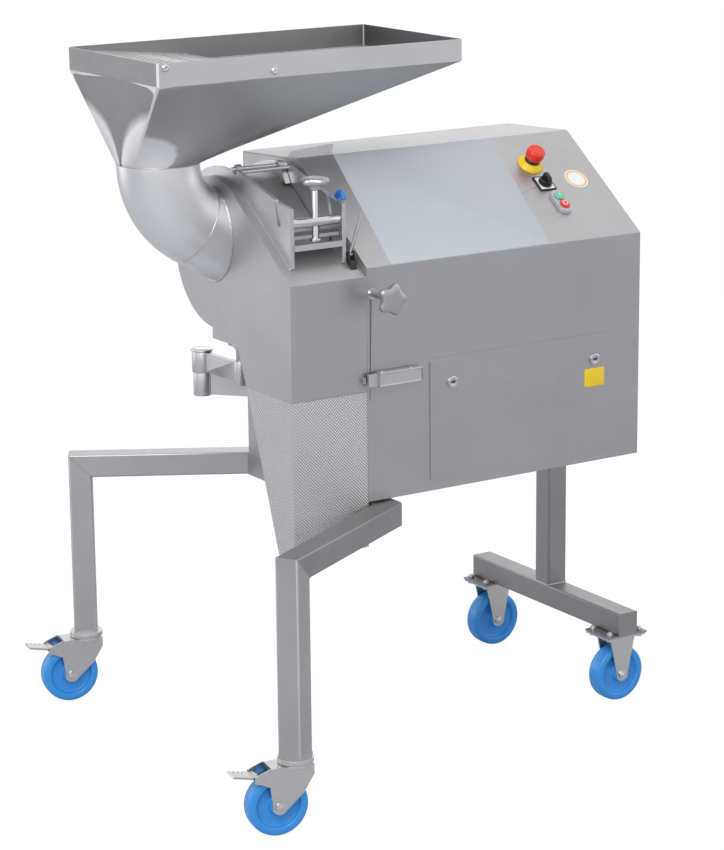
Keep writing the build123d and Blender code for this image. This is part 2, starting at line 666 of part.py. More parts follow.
# Toggle latch that holds the casing shut
latch_left, latch_right, latch_low, latch_high = 16.0, 125.0, 806.0, 836.0
latch_pin_x, latch_pin_out, latch_pin_radius = 119.0, 9.5, 2.5
latch_sheet = 3.0
flange = 1.8
with BuildPart() as latch_base:
    block(front, latch_left, latch_right, latch_low + 2, latch_high - 2, 0, latch_sheet)
    for low in (latch_low + flange + 0.3, latch_high - flange - 0.3 - latch_sheet):
        block(front, latch_pin_x - latch_pin_radius * 2, latch_pin_x + latch_pin_radius * 2, low,
              low + latch_sheet,
              latch_sheet, latch_pin_out)
        rod(floor, latch_pin_x, -latch_pin_out, latch_pin_radius * 2, low, low + latch_sheet)
    rod(floor, latch_pin_x, -latch_pin_out, latch_pin_radius, latch_low, latch_high)
latch_base.part.label = "latch_base"
export_step(latch_base.part, "parts/latch_base.step")

latch_face = latch_pin_out + 5.5
with BuildPart() as latch_handle:
    block(front, latch_left, latch_pin_x + 1, latch_low, latch_high, latch_face, latch_face + latch_sheet)
    for low in (latch_low, latch_high - flange):
        block(front, latch_left, latch_pin_x + latch_pin_radius * 2, low, low + flange, latch_pin_out - 4,
              latch_face)
    block(front, -seam_gap - 6.5, latch_left + 4, latch_low + 2, latch_high - 2, latch_pin_out - 1, latch_face)
    rod(floor, latch_pin_x, -latch_pin_out, latch_pin_radius + running_gap, latch_low, latch_high,
        Mode.SUBTRACT)
latch_handle.part.label = "latch_handle"
export_step(latch_handle.part, "parts/latch_handle.step")

# Small upturned flap on the top front edge
with BuildPart() as top_flap:
    slab(front,
         ((-20, top_front_z + 4), (86, top_front_z + 4), (90, top_front_z + 23), (-12, top_front_z + 16)),
         -top_front_y - 2, -top_front_y)
    block(floor, 0, 86, top_front_y, top_front_y + 24, top_front_z, top_front_z + 4)
top_flap.part.label = "top_flap"
export_step(top_flap.part, "parts/top_flap.step")


def casing_section(plane, inset):
    """Section of the cutting casing: straight front, slope, round back and flat shelf."""
    round_radius = casing_radius - inset
    start = (drum_y - round_radius * sa, drum_z + round_radius * ca)
    fold = (inset, start[1] - (start[0] - inset) * tan(radians(panel_angle)))
    end = (shelf_back_y - inset, drum_z - sqrt(round_radius ** 2 - (shelf_back_y - inset - drum_y) ** 2))
    with BuildSketch(plane) as section:
        with BuildLine():
            ThreePointArc(start, (drum_y + round_radius, drum_z), end)
            Polyline(end, (shelf_back_y - inset, casing_bottom + inset),
                     (shelf_front_y - inset * 0.7, casing_bottom + inset),
                     (chute_joint_y - inset, chute_joint), (inset, chute_joint), fold, start)
        make_face()
    return section.sketch


# Cutting casing that swings away from the bulkhead, with the pin of its hinge under it
gate_front_y, gate_rear_y = 72.0, 250.0
gate_left, gate_right = left_cheek_x + cheek_sheet, right_cheek_x
arm_barrel_x, arm_barrel_y = -160.0, 391.0
arm_sleeve_x, arm_sleeve_y = -150.0, 250.0
casing_pin_radius = 8.0
sleeve_bottom, sleeve_top = 782.0, 834.0
wall_plane = side.offset(-casing_length)
bend_s, bend_c = sin(radians(bend_angle)), cos(radians(bend_angle))
pipe_end_x = pipe_x + bend_radius * (1 - bend_c)
pipe_end_z = pipe_top - bend_radius * bend_s
pipe_reach = (sheet - casing_length - pipe_end_x) / bend_s
pipe_axis = Plane(origin=(datum_x + pipe_end_x, datum_y + pipe_y, pipe_end_z), x_dir=(0, 1, 0),
                  z_dir=(bend_s, 0, -bend_c))
with BuildPart() as casing:
    extrude(casing_section(wall_plane, 0), amount=casing_length - seam_gap)
    extrude(casing_section(wall_plane.offset(sheet), sheet), amount=casing_length, mode=Mode.SUBTRACT)
    with BuildSketch(pipe_axis.offset(pipe_reach - pipe_radius)):
        Circle(pipe_radius)
    extrude(amount=pipe_radius * 2, mode=Mode.SUBTRACT)
    block(floor, gate_left, gate_right, gate_front_y, gate_rear_y, drum_z, drum_z + casing_radius * 2,
          Mode.SUBTRACT)
    rod(floor, arm_sleeve_x, arm_sleeve_y, casing_pin_radius + 16, casing_bottom - 6, casing_bottom)
    rod(floor, arm_sleeve_x, arm_sleeve_y, casing_pin_radius, sleeve_bottom, casing_bottom)
    block(front, -16, -9, latch_low + 9, latch_high - 9, 0, 8)
casing.part.label = "casing"
export_step(casing.part, "parts/casing.step")

# Chute below the casing, a four-walled duct on the bulkhead
chute_sheet = 2.5
chute_inset = 1.0
chute_top = chute_joint - seam_gap
with BuildPart() as chute:
    slab(side, ((chute_inset, chute_top), (chute_joint_y, chute_top), (chute_bottom_y, chute_bottom),
                (chute_inset, chute_bottom)), chute_inset - casing_length, 0)
    slab(side, ((chute_inset + chute_sheet, chute_top), (chute_joint_y - chute_sheet, chute_top),
                (chute_bottom_y - chute_sheet, chute_bottom), (chute_inset + chute_sheet, chute_bottom)),
         chute_inset + chute_sheet - casing_length, -chute_sheet, Mode.SUBTRACT)
chute.part.label = "chute"
export_step(chute.part, "parts/chute.step")

# Feed pipe: a bend from the hopper down into the end wall
with BuildPart() as feed_pipe:
    with BuildLine(front.offset(-pipe_y)) as route:
        bend = CenterArc((pipe_x + bend_radius, pipe_top), bend_radius, 180, bend_angle)
        Line(bend @ 1,
             (pipe_end_x + (pipe_reach + pipe_radius) * bend_s,
              pipe_end_z - (pipe_reach + pipe_radius) * bend_c))
    with BuildSketch(Plane(origin=(datum_x + pipe_x, datum_y + pipe_y, pipe_top), z_dir=(0, 0, -1))) as ring:
        Circle(pipe_radius)
        Circle(pipe_radius - pipe_wall, mode=Mode.SUBTRACT)
    sweep(ring.sketch, path=route.line)
    block(side, 0, housing_depth, casing_bottom, pipe_top, sheet - casing_length, 0, Mode.SUBTRACT)
feed_pipe.part.label = "feed_pipe"
export_step(feed_pipe.part, "parts/feed_pipe.step")


def rim_outline(z, inset):
    """Rectangle of the hopper with folded corners, in eight edges from the front side on."""
    x0, x1, y0, y1 = rim_left + inset, rim_right - inset, rim_front + inset, rim_back - inset
    r = rim_corner - inset * (2 - sqrt(2))
    with BuildSketch(floor.offset(z)) as outline:
        with BuildLine():
            Polyline((x0 + r, y0), (x1 - r, y0), (x1, y0 + r), (x1, y1 - r), (x1 - r, y1), (x0 + r, y1),
                     (x0, y1 - r),
                     (x0, y0 + r), close=True)
        make_face()
    return outline.sketch


def neck_outline(z, inset):
    """Circle of the pipe in eight arcs that match the edges of the rim."""
    with BuildSketch(floor.offset(z)) as outline:
        with BuildLine():
            for quarter in range(4):
                middle = -90 + quarter * 90
                CenterArc((pipe_x, pipe_y), pipe_radius - inset, middle - quadrant_half, quadrant_half * 2)
                CenterArc((pipe_x, pipe_y), pipe_radius - inset, middle + quadrant_half, 90 - quadrant_half * 2)
        make_face()
    return outline.sketch


# Hopper: upright rim, then a sheet transition from the rectangle to the round pipe
with BuildPart() as hopper:
    extrude(rim_outline(rim_bottom, 0), amount=rim_top - rim_bottom)
    extrude(rim_outline(rim_bottom, hopper_sheet), amount=rim_top - rim_bottom, mode=Mode.SUBTRACT)
    loft([rim_outline(rim_bottom, 0), neck_outline(pipe_top, 0)], ruled=True)
    loft([rim_outline(rim_bottom, hopper_sheet), neck_outline(pipe_top, pipe_wall)], ruled=True,
         mode=Mode.SUBTRACT)
hopper.part.label = "hopper"
export_step(hopper.part, "parts/hopper.step")

# Guard of parallel bars over the deep end of the hopper, screwed to the rim on a slant
guard_bars = 14
guard_left, guard_right = rim_left + hopper_sheet + 6, -122.0
guard_high, guard_low = rim_top - 6, rim_bottom + 12
guard_run = hypot(guard_right - guard_left, guard_high - guard_low)
guard_fall = degrees(atan2(guard_high - guard_low, guard_right - guard_left))
guard_plane = Plane(origin=(datum_x + guard_left, datum_y, guard_high),
                    x_dir=(cos(radians(guard_fall)), 0, -sin(radians(guard_fall))),
                    z_dir=(sin(radians(guard_fall)), 0, cos(radians(guard_fall))))
with BuildPart() as finger_guard:
    for y in (rim_front + hopper_sheet, rim_back - hopper_sheet - 4):
        block(guard_plane, 0, guard_run, y, y + 4, -8, 0)
    for i in range(guard_bars):
        u = i * (guard_run - 6) / (guard_bars - 1)
        block(guard_plane, u, u + 6, rim_front + hopper_sheet, rim_back - hopper_sheet, -6, 0)
finger_guard.part.label = "finger_guard"
export_step(finger_guard.part, "parts/finger_guard.step")

# Cheeks on both sides of the gate, joined by the hinge rod, the stop rod and the front bar
slot_width, slot_length = 10.0, 56.0
slope_foot_y = -60.0
stop_rod_y, stop_rod_z = gate_rod_y - 24, gate_rod_z - 3
with BuildPart() as gate_frame:
    for x in (left_cheek_x, right_cheek_x):
        with BuildSketch(side.offset(x)) as cheek:
            with Locations((drum_y, drum_z)):
                Circle(cheek_radius)
            with BuildLine():
                Polyline((cheek_front_y, cheek_top_z - 120), (cheek_front_y, cheek_top_z),
                         (cheek_front_y + 33, cheek_top_z + 5),
                         (drum_y - 68, drum_z + 174), (drum_y, drum_z + 100), (drum_y, drum_z), close=True)
            make_face()
            with Locations((drum_y, drum_z)):
                Circle(casing_radius, mode=Mode.SUBTRACT)
            with BuildLine():
                Polyline((slope_foot_y, casing_fold + slope_foot_y * tan(radians(panel_angle))),
                         (tangent_y, tangent_z),
                         (drum_y, drum_z), (slope_foot_y, casing_bottom), close=True)
            make_face(mode=Mode.SUBTRACT)
            with Locations((drum_y, drum_z - cheek_radius)):
                Rectangle(cheek_radius * 4, cheek_radius * 2, mode=Mode.SUBTRACT)
            with Locations(Location((80, cheek_top_z - 12), -12)):
                Rectangle(slot_width, slot_length, mode=Mode.SUBTRACT)
        extrude(cheek.sketch, amount=cheek_sheet)
        rod(side, crossbar_y, crossbar_z, journal_radius + running_gap, x, x + cheek_sheet, Mode.SUBTRACT)
    rod(side, gate_rod_y, gate_rod_z, rod_radius, left_cheek_x, right_cheek_x + cheek_sheet)
    rod(side, stop_rod_y, stop_rod_z, rod_radius - 1, left_cheek_x, right_cheek_x + cheek_sheet)
    block(side, cheek_front_y - 4, cheek_front_y + 4, crossbar_z - front_bar_drop - 6,
          crossbar_z - front_bar_drop + 6,
          left_cheek_x + cheek_sheet - 1, right_cheek_x + 1)
gate_frame.part.label = "gate_frame"
export_step(gate_frame.part, "parts/gate_frame.step")

# Gate over the drum, hung on the hinge rod, with the forked lip that the spindle holds
lip_tip = 42.0
fork_half = 8.0
gate_ears = 12.0
ear_foot = 34.0
nose_y = gate_front_y + gate_nose_gap
nose_z = casing_fold + nose_y * tan(radians(panel_angle))
with BuildPart() as gate:
    with BuildSketch(side.offset(gate_left + gate_gap)) as leaf:
        with BuildLine():
            outer_top = (gate_rear_y - gate_gap,
                         drum_z + sqrt(casing_radius ** 2 - (gate_rear_y - gate_gap - drum_y) ** 2))
            inner_radius = casing_radius - gate_sheet
            inner_top = (gate_rear_y - gate_gap,
                         drum_z + sqrt(inner_radius ** 2 - (gate_rear_y - gate_gap - drum_y) ** 2))
            outer_end = (nose_y, nose_z)
            inner_end = (nose_y, nose_z - gate_sheet / ca)
            inner_tangent = (drum_y - inner_radius * sa, drum_z + inner_radius * ca)
            RadiusArc(outer_top, (tangent_y, tangent_z), casing_radius)
            Line((tangent_y, tangent_z), outer_end)
            Line(outer_end, inner_end)
            Line(inner_end, inner_tangent)
            RadiusArc(inner_tangent, inner_top, -inner_radius)
            Line(inner_top, outer_top)
        make_face()
    extrude(leaf.sketch, amount=gate_right - gate_left - gate_gap * 2)
    slab(side, ((nose_y, nose_z - 2), (nose_y + 10, nose_z + 4), (nose_y + 7, lip_high), (lip_tip, lip_high),
                (lip_tip, lip_low), (nose_y, lip_low)), gate_left + gate_gap, gate_right - gate_gap)
    spindle_x = (gate_left + gate_right) / 2
    block(floor, spindle_x - fork_half, spindle_x + fork_half, lip_tip - fork_half,
          crossbar_y + spindle_radius * 2,
          lip_low - 5, lip_high + 5, Mode.SUBTRACT)
    for x in (gate_left + gate_gap, gate_right - gate_gap - gate_ears):
        slab(side,
             ((gate_rod_y - 12, gate_rod_z), (gate_rod_y + 8, gate_rod_z),
              (gate_rod_y - 14, drum_z + casing_radius - 12),
                    (gate_rod_y - ear_foot, drum_z + casing_radius - 18)), x, x + gate_ears)
        rod(side, gate_rod_y, gate_rod_z, rod_radius * 2, x, x + gate_ears)
        rod(side, gate_rod_y, gate_rod_z, rod_radius + running_gap, x, x + gate_ears, Mode.SUBTRACT)
        rod(side, stop_rod_y, stop_rod_z, rod_radius + 3, x, x + gate_ears, Mode.SUBTRACT)
gate.part.label = "gate"
export_step(gate.part, "parts/gate.step")

# Swinging crossbar with its journals, and the clamp spindle with the star knob
with BuildPart() as crossbar:
    rod(side, crossbar_y, crossbar_z, crossbar_radius, gate_left + gate_gap, gate_right - gate_gap)
    rod(side, crossbar_y, crossbar_z, journal_radius, left_cheek_x, right_cheek_x + cheek_sheet)
    rod(floor, spindle_x, crossbar_y, spindle_radius + running_gap, crossbar_z - 20, crossbar_z + 20,
        Mode.SUBTRACT)
crossbar.part.label = "crossbar"
export_step(crossbar.part, "parts/crossbar.step")

collar_top = lip_low - 0.8
with BuildPart() as clamp_spindle:
    rod(floor, spindle_x, crossbar_y, spindle_radius, collar_top, knob_base + 12)
    rod(floor, spindle_x, crossbar_y, spindle_radius * 2, collar_top - 5, collar_top)
clamp_spindle.part.label = "clamp_spindle"
export_step(clamp_spindle.part, "parts/clamp_spindle.step")

with BuildPart() as spindle_knob:
    star_knob(floor, spindle_x, crossbar_y, knob_base, 24, 28)
    rod(floor, spindle_x, crossbar_y, spindle_radius + running_gap, knob_base, knob_base + 12, Mode.SUBTRACT)
spindle_knob.part.label = "spindle_knob"
export_step(spindle_knob.part, "parts/spindle_knob.step")

# Release lever on the slope between the right cheek and the seam
lever_x, lever_y, lever_z = -17.0, 34.0, 1074.0
lever_reach_y, lever_reach_z = -42.0, 85.0
lever_radius = 4.0
with BuildPart() as lever_boot:
    slab(side, ((lever_y - 16, casing_fold + (lever_y - 16) * tan(radians(panel_angle))),
                (lever_y + 16, casing_fold + (lever_y + 16) * tan(radians(panel_angle))),
                (lever_y + 4, lever_z + 6), (lever_y - 6, lever_z + 6)), lever_x - 7, lever_x + 7)
    block(side, lever_y - 20, lever_y + 20, lever_z - 12, lever_z + 10, lever_x - 4.7, lever_x + 4.7,
          Mode.SUBTRACT)
    rod(side, lever_y, lever_z, 2.5, lever_x - 7, lever_x + 7)
lever_boot.part.label = "lever_boot"
export_step(lever_boot.part, "parts/lever_boot.step")

with BuildPart() as release_lever:
    lever_length = hypot(lever_reach_y, lever_reach_z)
    lever_axis = Plane(origin=(datum_x + lever_x, datum_y + lever_y, lever_z), x_dir=(1, 0, 0),
                       z_dir=(0, lever_reach_y / lever_length, lever_reach_z / lever_length))
    rod(lever_axis, 0, 0, lever_radius, 3.5, lever_length)
    rod(side, lever_y, lever_z, 5, lever_x - 4.5, lever_x + 4.5)
    rod(side, lever_y, lever_z, 2.5 + running_gap, lever_x - 4.5, lever_x + 4.5, Mode.SUBTRACT)
release_lever.part.label = "release_lever"
export_step(release_lever.part, "parts/release_lever.step")

# Double-jointed hinge: bracket and pin on the bulkhead, then the arm with its two barrels
bracket_low, bracket_high = 738.0, 784.0
barrel_radius = 19.0
barrel_split = 786.0
barrel_top = 831.0
hinge_pin_radius = 10.0
arm_sheet = 12.0
foot_y = 215.0
run = hypot(arm_barrel_x, foot_y - arm_barrel_y)
bracket_plane = Plane(origin=(datum_x + arm_barrel_x, datum_y + arm_barrel_y, 0),
                      x_dir=(-arm_barrel_x / run, (foot_y - arm_barrel_y) / run, 0), z_dir=(0, 0, 1))
with BuildPart() as hinge_bracket:
    block(bracket_plane, 0, run, -arm_sheet / 2, arm_sheet / 2, bracket_low, bracket_high)
    block(side, 0, housing_depth, casing_bottom - 400, casing_bottom, 0, 100, Mode.SUBTRACT)
    block(side, foot_y - 30, foot_y + 30, bracket_low - 4, bracket_high + 4, -8, 0)
    rod(floor, arm_barrel_x, arm_barrel_y, barrel_radius, bracket_low - 2, barrel_split - 0.2)
    rod(floor, arm_barrel_x, arm_barrel_y, hinge_pin_radius, barrel_split - 0.2, barrel_top)
    rod(floor, arm_barrel_x, arm_barrel_y, barrel_radius + 4, barrel_top + 0.2, barrel_top + 3.2)
    rod(floor, arm_barrel_x, arm_barrel_y, hinge_pin_radius, barrel_top, barrel_top + 0.2)
hinge_bracket.part.label = "hinge_bracket"
export_step(hinge_bracket.part, "parts/hinge_bracket.step")

arm_run = hypot(arm_sleeve_x - arm_barrel_x, arm_sleeve_y - arm_barrel_y)
arm_plane = Plane(origin=(datum_x + arm_barrel_x, datum_y + arm_barrel_y, 0),
                  x_dir=((arm_sleeve_x - arm_barrel_x) / arm_run, (arm_sleeve_y - arm_barrel_y) / arm_run, 0),
                  z_dir=(0, 0, 1))
with BuildPart() as hinge_arm:
    block(arm_plane, 0, arm_run, -arm_sheet / 2, arm_sheet / 2, barrel_split + 3, barrel_top - 1)
    rod(floor, arm_barrel_x, arm_barrel_y, barrel_radius + 2, barrel_split, barrel_top)
    rod(floor, arm_sleeve_x, arm_sleeve_y, casing_pin_radius + 5, sleeve_bottom, sleeve_top)
    rod(floor, arm_barrel_x, arm_barrel_y, hinge_pin_radius + running_gap, barrel_split, barrel_top,
        Mode.SUBTRACT)
    rod(floor, arm_sleeve_x, arm_sleeve_y, casing_pin_radius + running_gap, sleeve_bottom, sleeve_top,
        Mode.SUBTRACT)
hinge_arm.part.label = "hinge_arm"
export_step(hinge_arm.part, "parts/hinge_arm.step")
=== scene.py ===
import math

import bmesh
import bpy
import numpy as np
from mathutils import Matrix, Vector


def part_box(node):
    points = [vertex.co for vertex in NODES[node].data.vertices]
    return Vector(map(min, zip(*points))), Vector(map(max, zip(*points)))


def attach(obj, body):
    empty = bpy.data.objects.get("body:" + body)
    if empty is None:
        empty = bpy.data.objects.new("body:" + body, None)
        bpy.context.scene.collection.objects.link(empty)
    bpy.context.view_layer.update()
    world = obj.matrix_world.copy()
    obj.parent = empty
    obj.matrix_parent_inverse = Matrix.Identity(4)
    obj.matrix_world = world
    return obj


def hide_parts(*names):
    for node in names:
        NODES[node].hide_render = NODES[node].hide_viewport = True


bl_info = {
    "name": "Dicing machine dressing",
    "version": (1, 0, 0),
    "blender": (4, 5, 0),
    "location": "3D View > Sidebar > Dicing machine",
    "description": "Finishes and fittings of a mobile dicing machine, placed on its solid frame",
    "category": "Object",
}

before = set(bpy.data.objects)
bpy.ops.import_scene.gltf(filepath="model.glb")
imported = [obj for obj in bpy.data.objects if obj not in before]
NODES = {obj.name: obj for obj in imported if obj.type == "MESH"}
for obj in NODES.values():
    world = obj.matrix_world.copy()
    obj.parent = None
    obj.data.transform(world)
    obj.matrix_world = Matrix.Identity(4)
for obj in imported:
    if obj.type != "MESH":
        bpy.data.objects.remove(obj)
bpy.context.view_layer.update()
HOUSING_LOW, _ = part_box("housing_shell")
SEAM = np.array([HOUSING_LOW.x, HOUSING_LOW.y, 0.0])
PANEL_RISE, PANEL_RUN = 188.0, 261.0
SLOPE = math.atan2(PANEL_RISE, PANEL_RUN)
FOLD_Z = 1049.0

# Places and sizes of the solids that the fittings sit on, in millimetres
PIPE_X, PIPE_Y, PIPE_TOP = -299.0, 305.0, 1250.0
PIPE_RADIUS, BEND_RADIUS = 84.6, 152.0
BEND_SEAM, PIPE_LEAN = math.radians(60), math.radians(30)
CASING_WALL_X = -179.5
DRUM_Y, DRUM_Z, CASING_RADIUS = 300.0, 1054.0, 157.0
CHEEK_WELDS = {"left_cheek_weld_outer": -157.3, "right_cheek_weld_outer": -26.7}
CHEEK_START = 34.0
SPINDLE_KNOB = (-92.0, 45.0, 1210.0)
CLAMP_KNOB = (13.0, 0.0, 995.0)
LATCH_Z = 821.0
LOCK_PLACES, LOCK_Z = {"left": 206.0, "right": 572.0}, 789.0
STOP_PLACE, SELECTOR_PLACE = (539.0, 230.0), (541.0, 170.0)
TWIN_PLACE, DISC_PLACE = (547.0, 110.0), (628.0, 174.0)
LENS_OFFSET = 12.5
HINGE_X, HINGE_Y = -160.0, 391.0
POST_X, POST_Y, FOOT_TOP = 668.0, 276.0, 209.8
LEG_PLACES = {"front": (-316.85, -217.85), "back": (-291.85, 708.15)}
FIXED_CASTOR_X, FIXED_CASTOR_Y = 668.0, {"front": 34.5, "back": 501.5}
AXLE_Z, CASTOR_TRAIL, FORK_SIDE = 62.5, 42.0, 25.0
CASTOR_TURN = math.radians(11.0)
ROLLING = np.array([-math.cos(CASTOR_TURN), math.sin(CASTOR_TURN), 0.0])
AXLE = np.array([math.sin(CASTOR_TURN), math.cos(CASTOR_TURN), 0.0])


def place(points):
    """Millimetres from the seam, the front face and the floor, turned into metres in the frame."""
    return np.asarray(points, float) / 1000.0 + SEAM


def unit(vector):
    """The vector divided by its own length."""
    v = np.asarray(vector, float)
    return v / np.linalg.norm(v)


def units(vectors):
    """Each row of vectors divided by its own length."""
    return vectors / np.linalg.norm(vectors, axis=1, keepdims=True)


def panel_point(across, up, out=0.0):
    """A point on the sloped panel: across from the seam, up the slope from the fold, out along its normal."""
    rise, run = math.sin(SLOPE), math.cos(SLOPE)
    return (across, up * run - out * rise, FOLD_Z + up * rise + out * run)


def matrix_of(columns, origin):
    """Matrix of three axes and an origin."""
    rows = [[column[i] for column in columns] + [origin[i]] for i in range(3)]
    return Matrix(rows + [[0, 0, 0, 1]])


PANEL_NORMAL = np.array([0.0, -math.sin(SLOPE), math.cos(SLOPE)])
PANEL_UP = np.array([0.0, math.cos(SLOPE), math.sin(SLOPE)])
ACROSS = np.array([1.0, 0.0, 0.0])
DEEP = np.array([0.0, 1.0, 0.0])
FRONT = np.array([0.0, -1.0, 0.0])
UP = np.array([0.0, 0.0, 1.0])


def side_axes(axis):
    """Two unit vectors that make a right-handed set with the axis."""
    axis = unit(axis)
    helper = UP if abs(axis[2]) < 0.9 else ACROSS
    first = unit(np.cross(helper, axis))
    return first, np.cross(axis, first)


def quads(rows, cols, close_rows=False, close_cols=False):
    """Corner numbers of the quads of a grid, whose last row or column may join its first."""
    i = np.arange(rows if close_rows else rows - 1)[:, None]
    j = np.arange(cols if close_cols else cols - 1)[None, :]
    a = i * cols + j
    b = i * cols + (j + 1) % cols
    c = ((i + 1) % rows) * cols + (j + 1) % cols
    d = ((i + 1) % rows) * cols + j
    return np.stack([a, b, c, d], -1).reshape(-1, 4)


def make_piece(name, vertices, faces, body, material, smooth=True):
    """Mesh object from arrays of corners and faces, riding on a body of the frame."""
    mesh = bpy.data.meshes.new(name)
    mesh.from_pydata(np.asarray(vertices).reshape(-1, 3).tolist(), [], [list(map(int, f)) for f in faces])
    mesh.validate()
    mesh.polygons.foreach_set("use_smooth", np.full(len(mesh.polygons), smooth))
    mesh.update()
    piece = bpy.data.objects.new(name, mesh)
    bpy.context.scene.collection.objects.link(piece)
    mesh.materials.append(material)
    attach(piece, body)
    return piece


def turned(name, profile, centre, axis, body, slot, material, around=64, lobes=0, depth=0.0, hollow=False,
           angle=35.0):
    """Profile of radius and height turned round an axis. With lobes, the radius grows and shrinks by the
    depth as the cosine of the angle times their number, with a tenth of the double, weighted by the radius.
    A hollow profile is closed on itself as a ring, and any other is capped at both ends."""
    profile = np.asarray(profile, float)
    first, second = side_axes(axis)
    turn = np.linspace(0, 2 * math.pi, around, endpoint=False)
    radius = np.repeat(profile[:, :1], around, axis=1)
    if lobes:
        weight = np.clip((radius / radius.max() - 0.55) / 0.45, 0, 1)
        radius = radius * (1 + depth * weight * (np.cos(turn * lobes) + 0.1 * np.cos(turn * lobes * 2) - 0.1))
    points = (radius * np.cos(turn))[..., None] * first + (radius * np.sin(turn))[..., None] * second
    points = points + profile[:, 1][:, None, None] * unit(axis)
    faces = [*quads(len(profile), around, close_rows=hollow, close_cols=True)]
    if not hollow:
        faces.append(list(range(around))[::-1])
        faces.append(list(range((len(profile) - 1) * around, len(profile) * around)))
    piece = make_piece(name, place(points + np.asarray(centre, float)), faces, body, material)
    set_faces(piece, angle)
    return piece


def bead(name, path, radius, body, material, around=8, closed=False, ripple=0.0, pitch=3.0):
    """Round section carried along a path of points. With a ripple, its radius swells as the cosine of the
    distance run divided by the pitch, as a weld bead does."""
    path = np.asarray(path, float)
    ahead = np.roll(path, -1, 0) - path
    behind = path - np.roll(path, 1, 0)
    if not closed:
        ahead[-1], behind[0] = behind[-1], ahead[0]
    run = units(units(ahead) + units(behind))
    spread = np.abs(run).sum(0)
    helper = np.eye(3)[int(np.argmin(spread))]
    first = units(np.cross(run, helper))
    second = np.cross(run, first)
    distance = np.concatenate([[0], np.cumsum(np.linalg.norm(np.diff(path, axis=0), axis=1))])
    swell = radius * (1 + ripple * np.cos(distance * 2 * math.pi / pitch))
    angle = np.linspace(0, 2 * math.pi, around, endpoint=False)
    ring = np.cos(angle)[None, :, None] * first[:, None] + np.sin(angle)[None, :, None] * second[:, None]
    points = path[:, None] + ring * swell[:, None, None]
    faces = [*quads(len(path), around, close_rows=closed, close_cols=True)]
    if not closed:
        faces.append(list(range(around)))
        faces.append(list(range((len(path) - 1) * around, len(path) * around))[::-1])
    piece = make_piece(name, place(points), faces, body, material)
    set_faces(piece)
    return piece


def rounded_rectangle(width, height, radius, steps=6):
    """Corners of a rectangle whose four corners are quarter circles, anticlockwise."""
    quarter = np.linspace(0, math.pi / 2, steps + 1)
    out = []
    for k, (sx, sy) in enumerate(((1, 1), (-1, 1), (-1, -1), (1, -1))):
        angle = quarter + k * math.pi / 2
        x = sx * (width / 2 - radius) + radius * np.cos(angle)
        y = sy * (height / 2 - radius) + radius * np.sin(angle)
        out.append(np.stack([x, y], -1))
    return np.concatenate(out)


def plate(name, outline, centre, normal, upright, thickness, body, material, edge=0.3):
    """Flat outline raised along its normal, its rim rounded in two steps of the edge's size."""
    outline = np.asarray(outline, float)
    upright = unit(upright)
    across = np.cross(upright, unit(normal))
    middle = outline.mean(0)
    reach = np.linalg.norm(outline - middle, axis=1, keepdims=True)
    levels = ((0.0, 0.0), (thickness - edge, 0.0), (thickness - edge * 0.3, edge * 0.3), (thickness, edge))
    rings = []
    for height, inset in levels:
        ring = middle + (outline - middle) * (1 - inset / reach)
        rings.append(ring[:, :1] * across + ring[:, 1:] * upright + height * unit(normal))
    points = np.stack(rings) + np.asarray(centre, float)
    count = len(outline)
    faces = [*quads(len(levels), count, close_cols=True), list(range(count))[::-1],
             list(range(3 * count, 4 * count))]
    piece = make_piece(name, place(points), faces, body, material)
    set_faces(piece, 35.0)
    return piece


def strip(name, section, start, end, upright, body, material):
    """Closed section of across and upright distances, carried straight from start to end and capped."""
    section = np.asarray(section, float)
    run = unit(np.asarray(end, float) - np.asarray(start, float))
    upright = unit(upright)
    across = np.cross(run, upright)
    ring = section[:, :1] * across + section[:, 1:] * upright
    points = np.stack([ring + np.asarray(start, float), ring + np.asarray(end, float)])
    count = len(section)
    faces = [*quads(2, count, close_cols=True), list(range(count))[::-1], list(range(count, 2 * count))]
    piece = make_piece(name, place(points), faces, body, material, smooth=False)
    set_faces(piece)
    return piece


def set_faces(piece, degrees=None):
    """Faces turned outwards. With an angle, shallower edges are smooth and steeper ones sharp."""
    mesh = bmesh.new()
    mesh.from_mesh(piece.data)
    bmesh.ops.recalc_face_normals(mesh, faces=mesh.faces)
    if degrees:
        limit = math.radians(degrees)
        for edge in mesh.edges:
            edge.smooth = len(edge.link_faces) == 2 and edge.calc_face_angle(0.0) < limit
    mesh.to_mesh(piece.data)
    mesh.free()


def round_edges(piece, width, segments=2):
    """Bevel on the steep edges, after the loose triangles are joined."""
    weld = piece.modifiers.new("Join", "WELD")
    weld.merge_threshold = 0.00001
    bevel = piece.modifiers.new("Round edges", "BEVEL")
    bevel.width = width
    bevel.segments = segments
    bevel.limit_method = "ANGLE"
    bevel.angle_limit = math.radians(32)
    bevel.use_clamp_overlap = True
    bevel.harden_normals = True


# Materials

def shader(name):
    """New material with its node tree and its Principled shader."""
    material = bpy.data.materials.new(name)
    material.use_nodes = True
    tree = material.node_tree
    return material, tree, tree.nodes["Principled BSDF"]


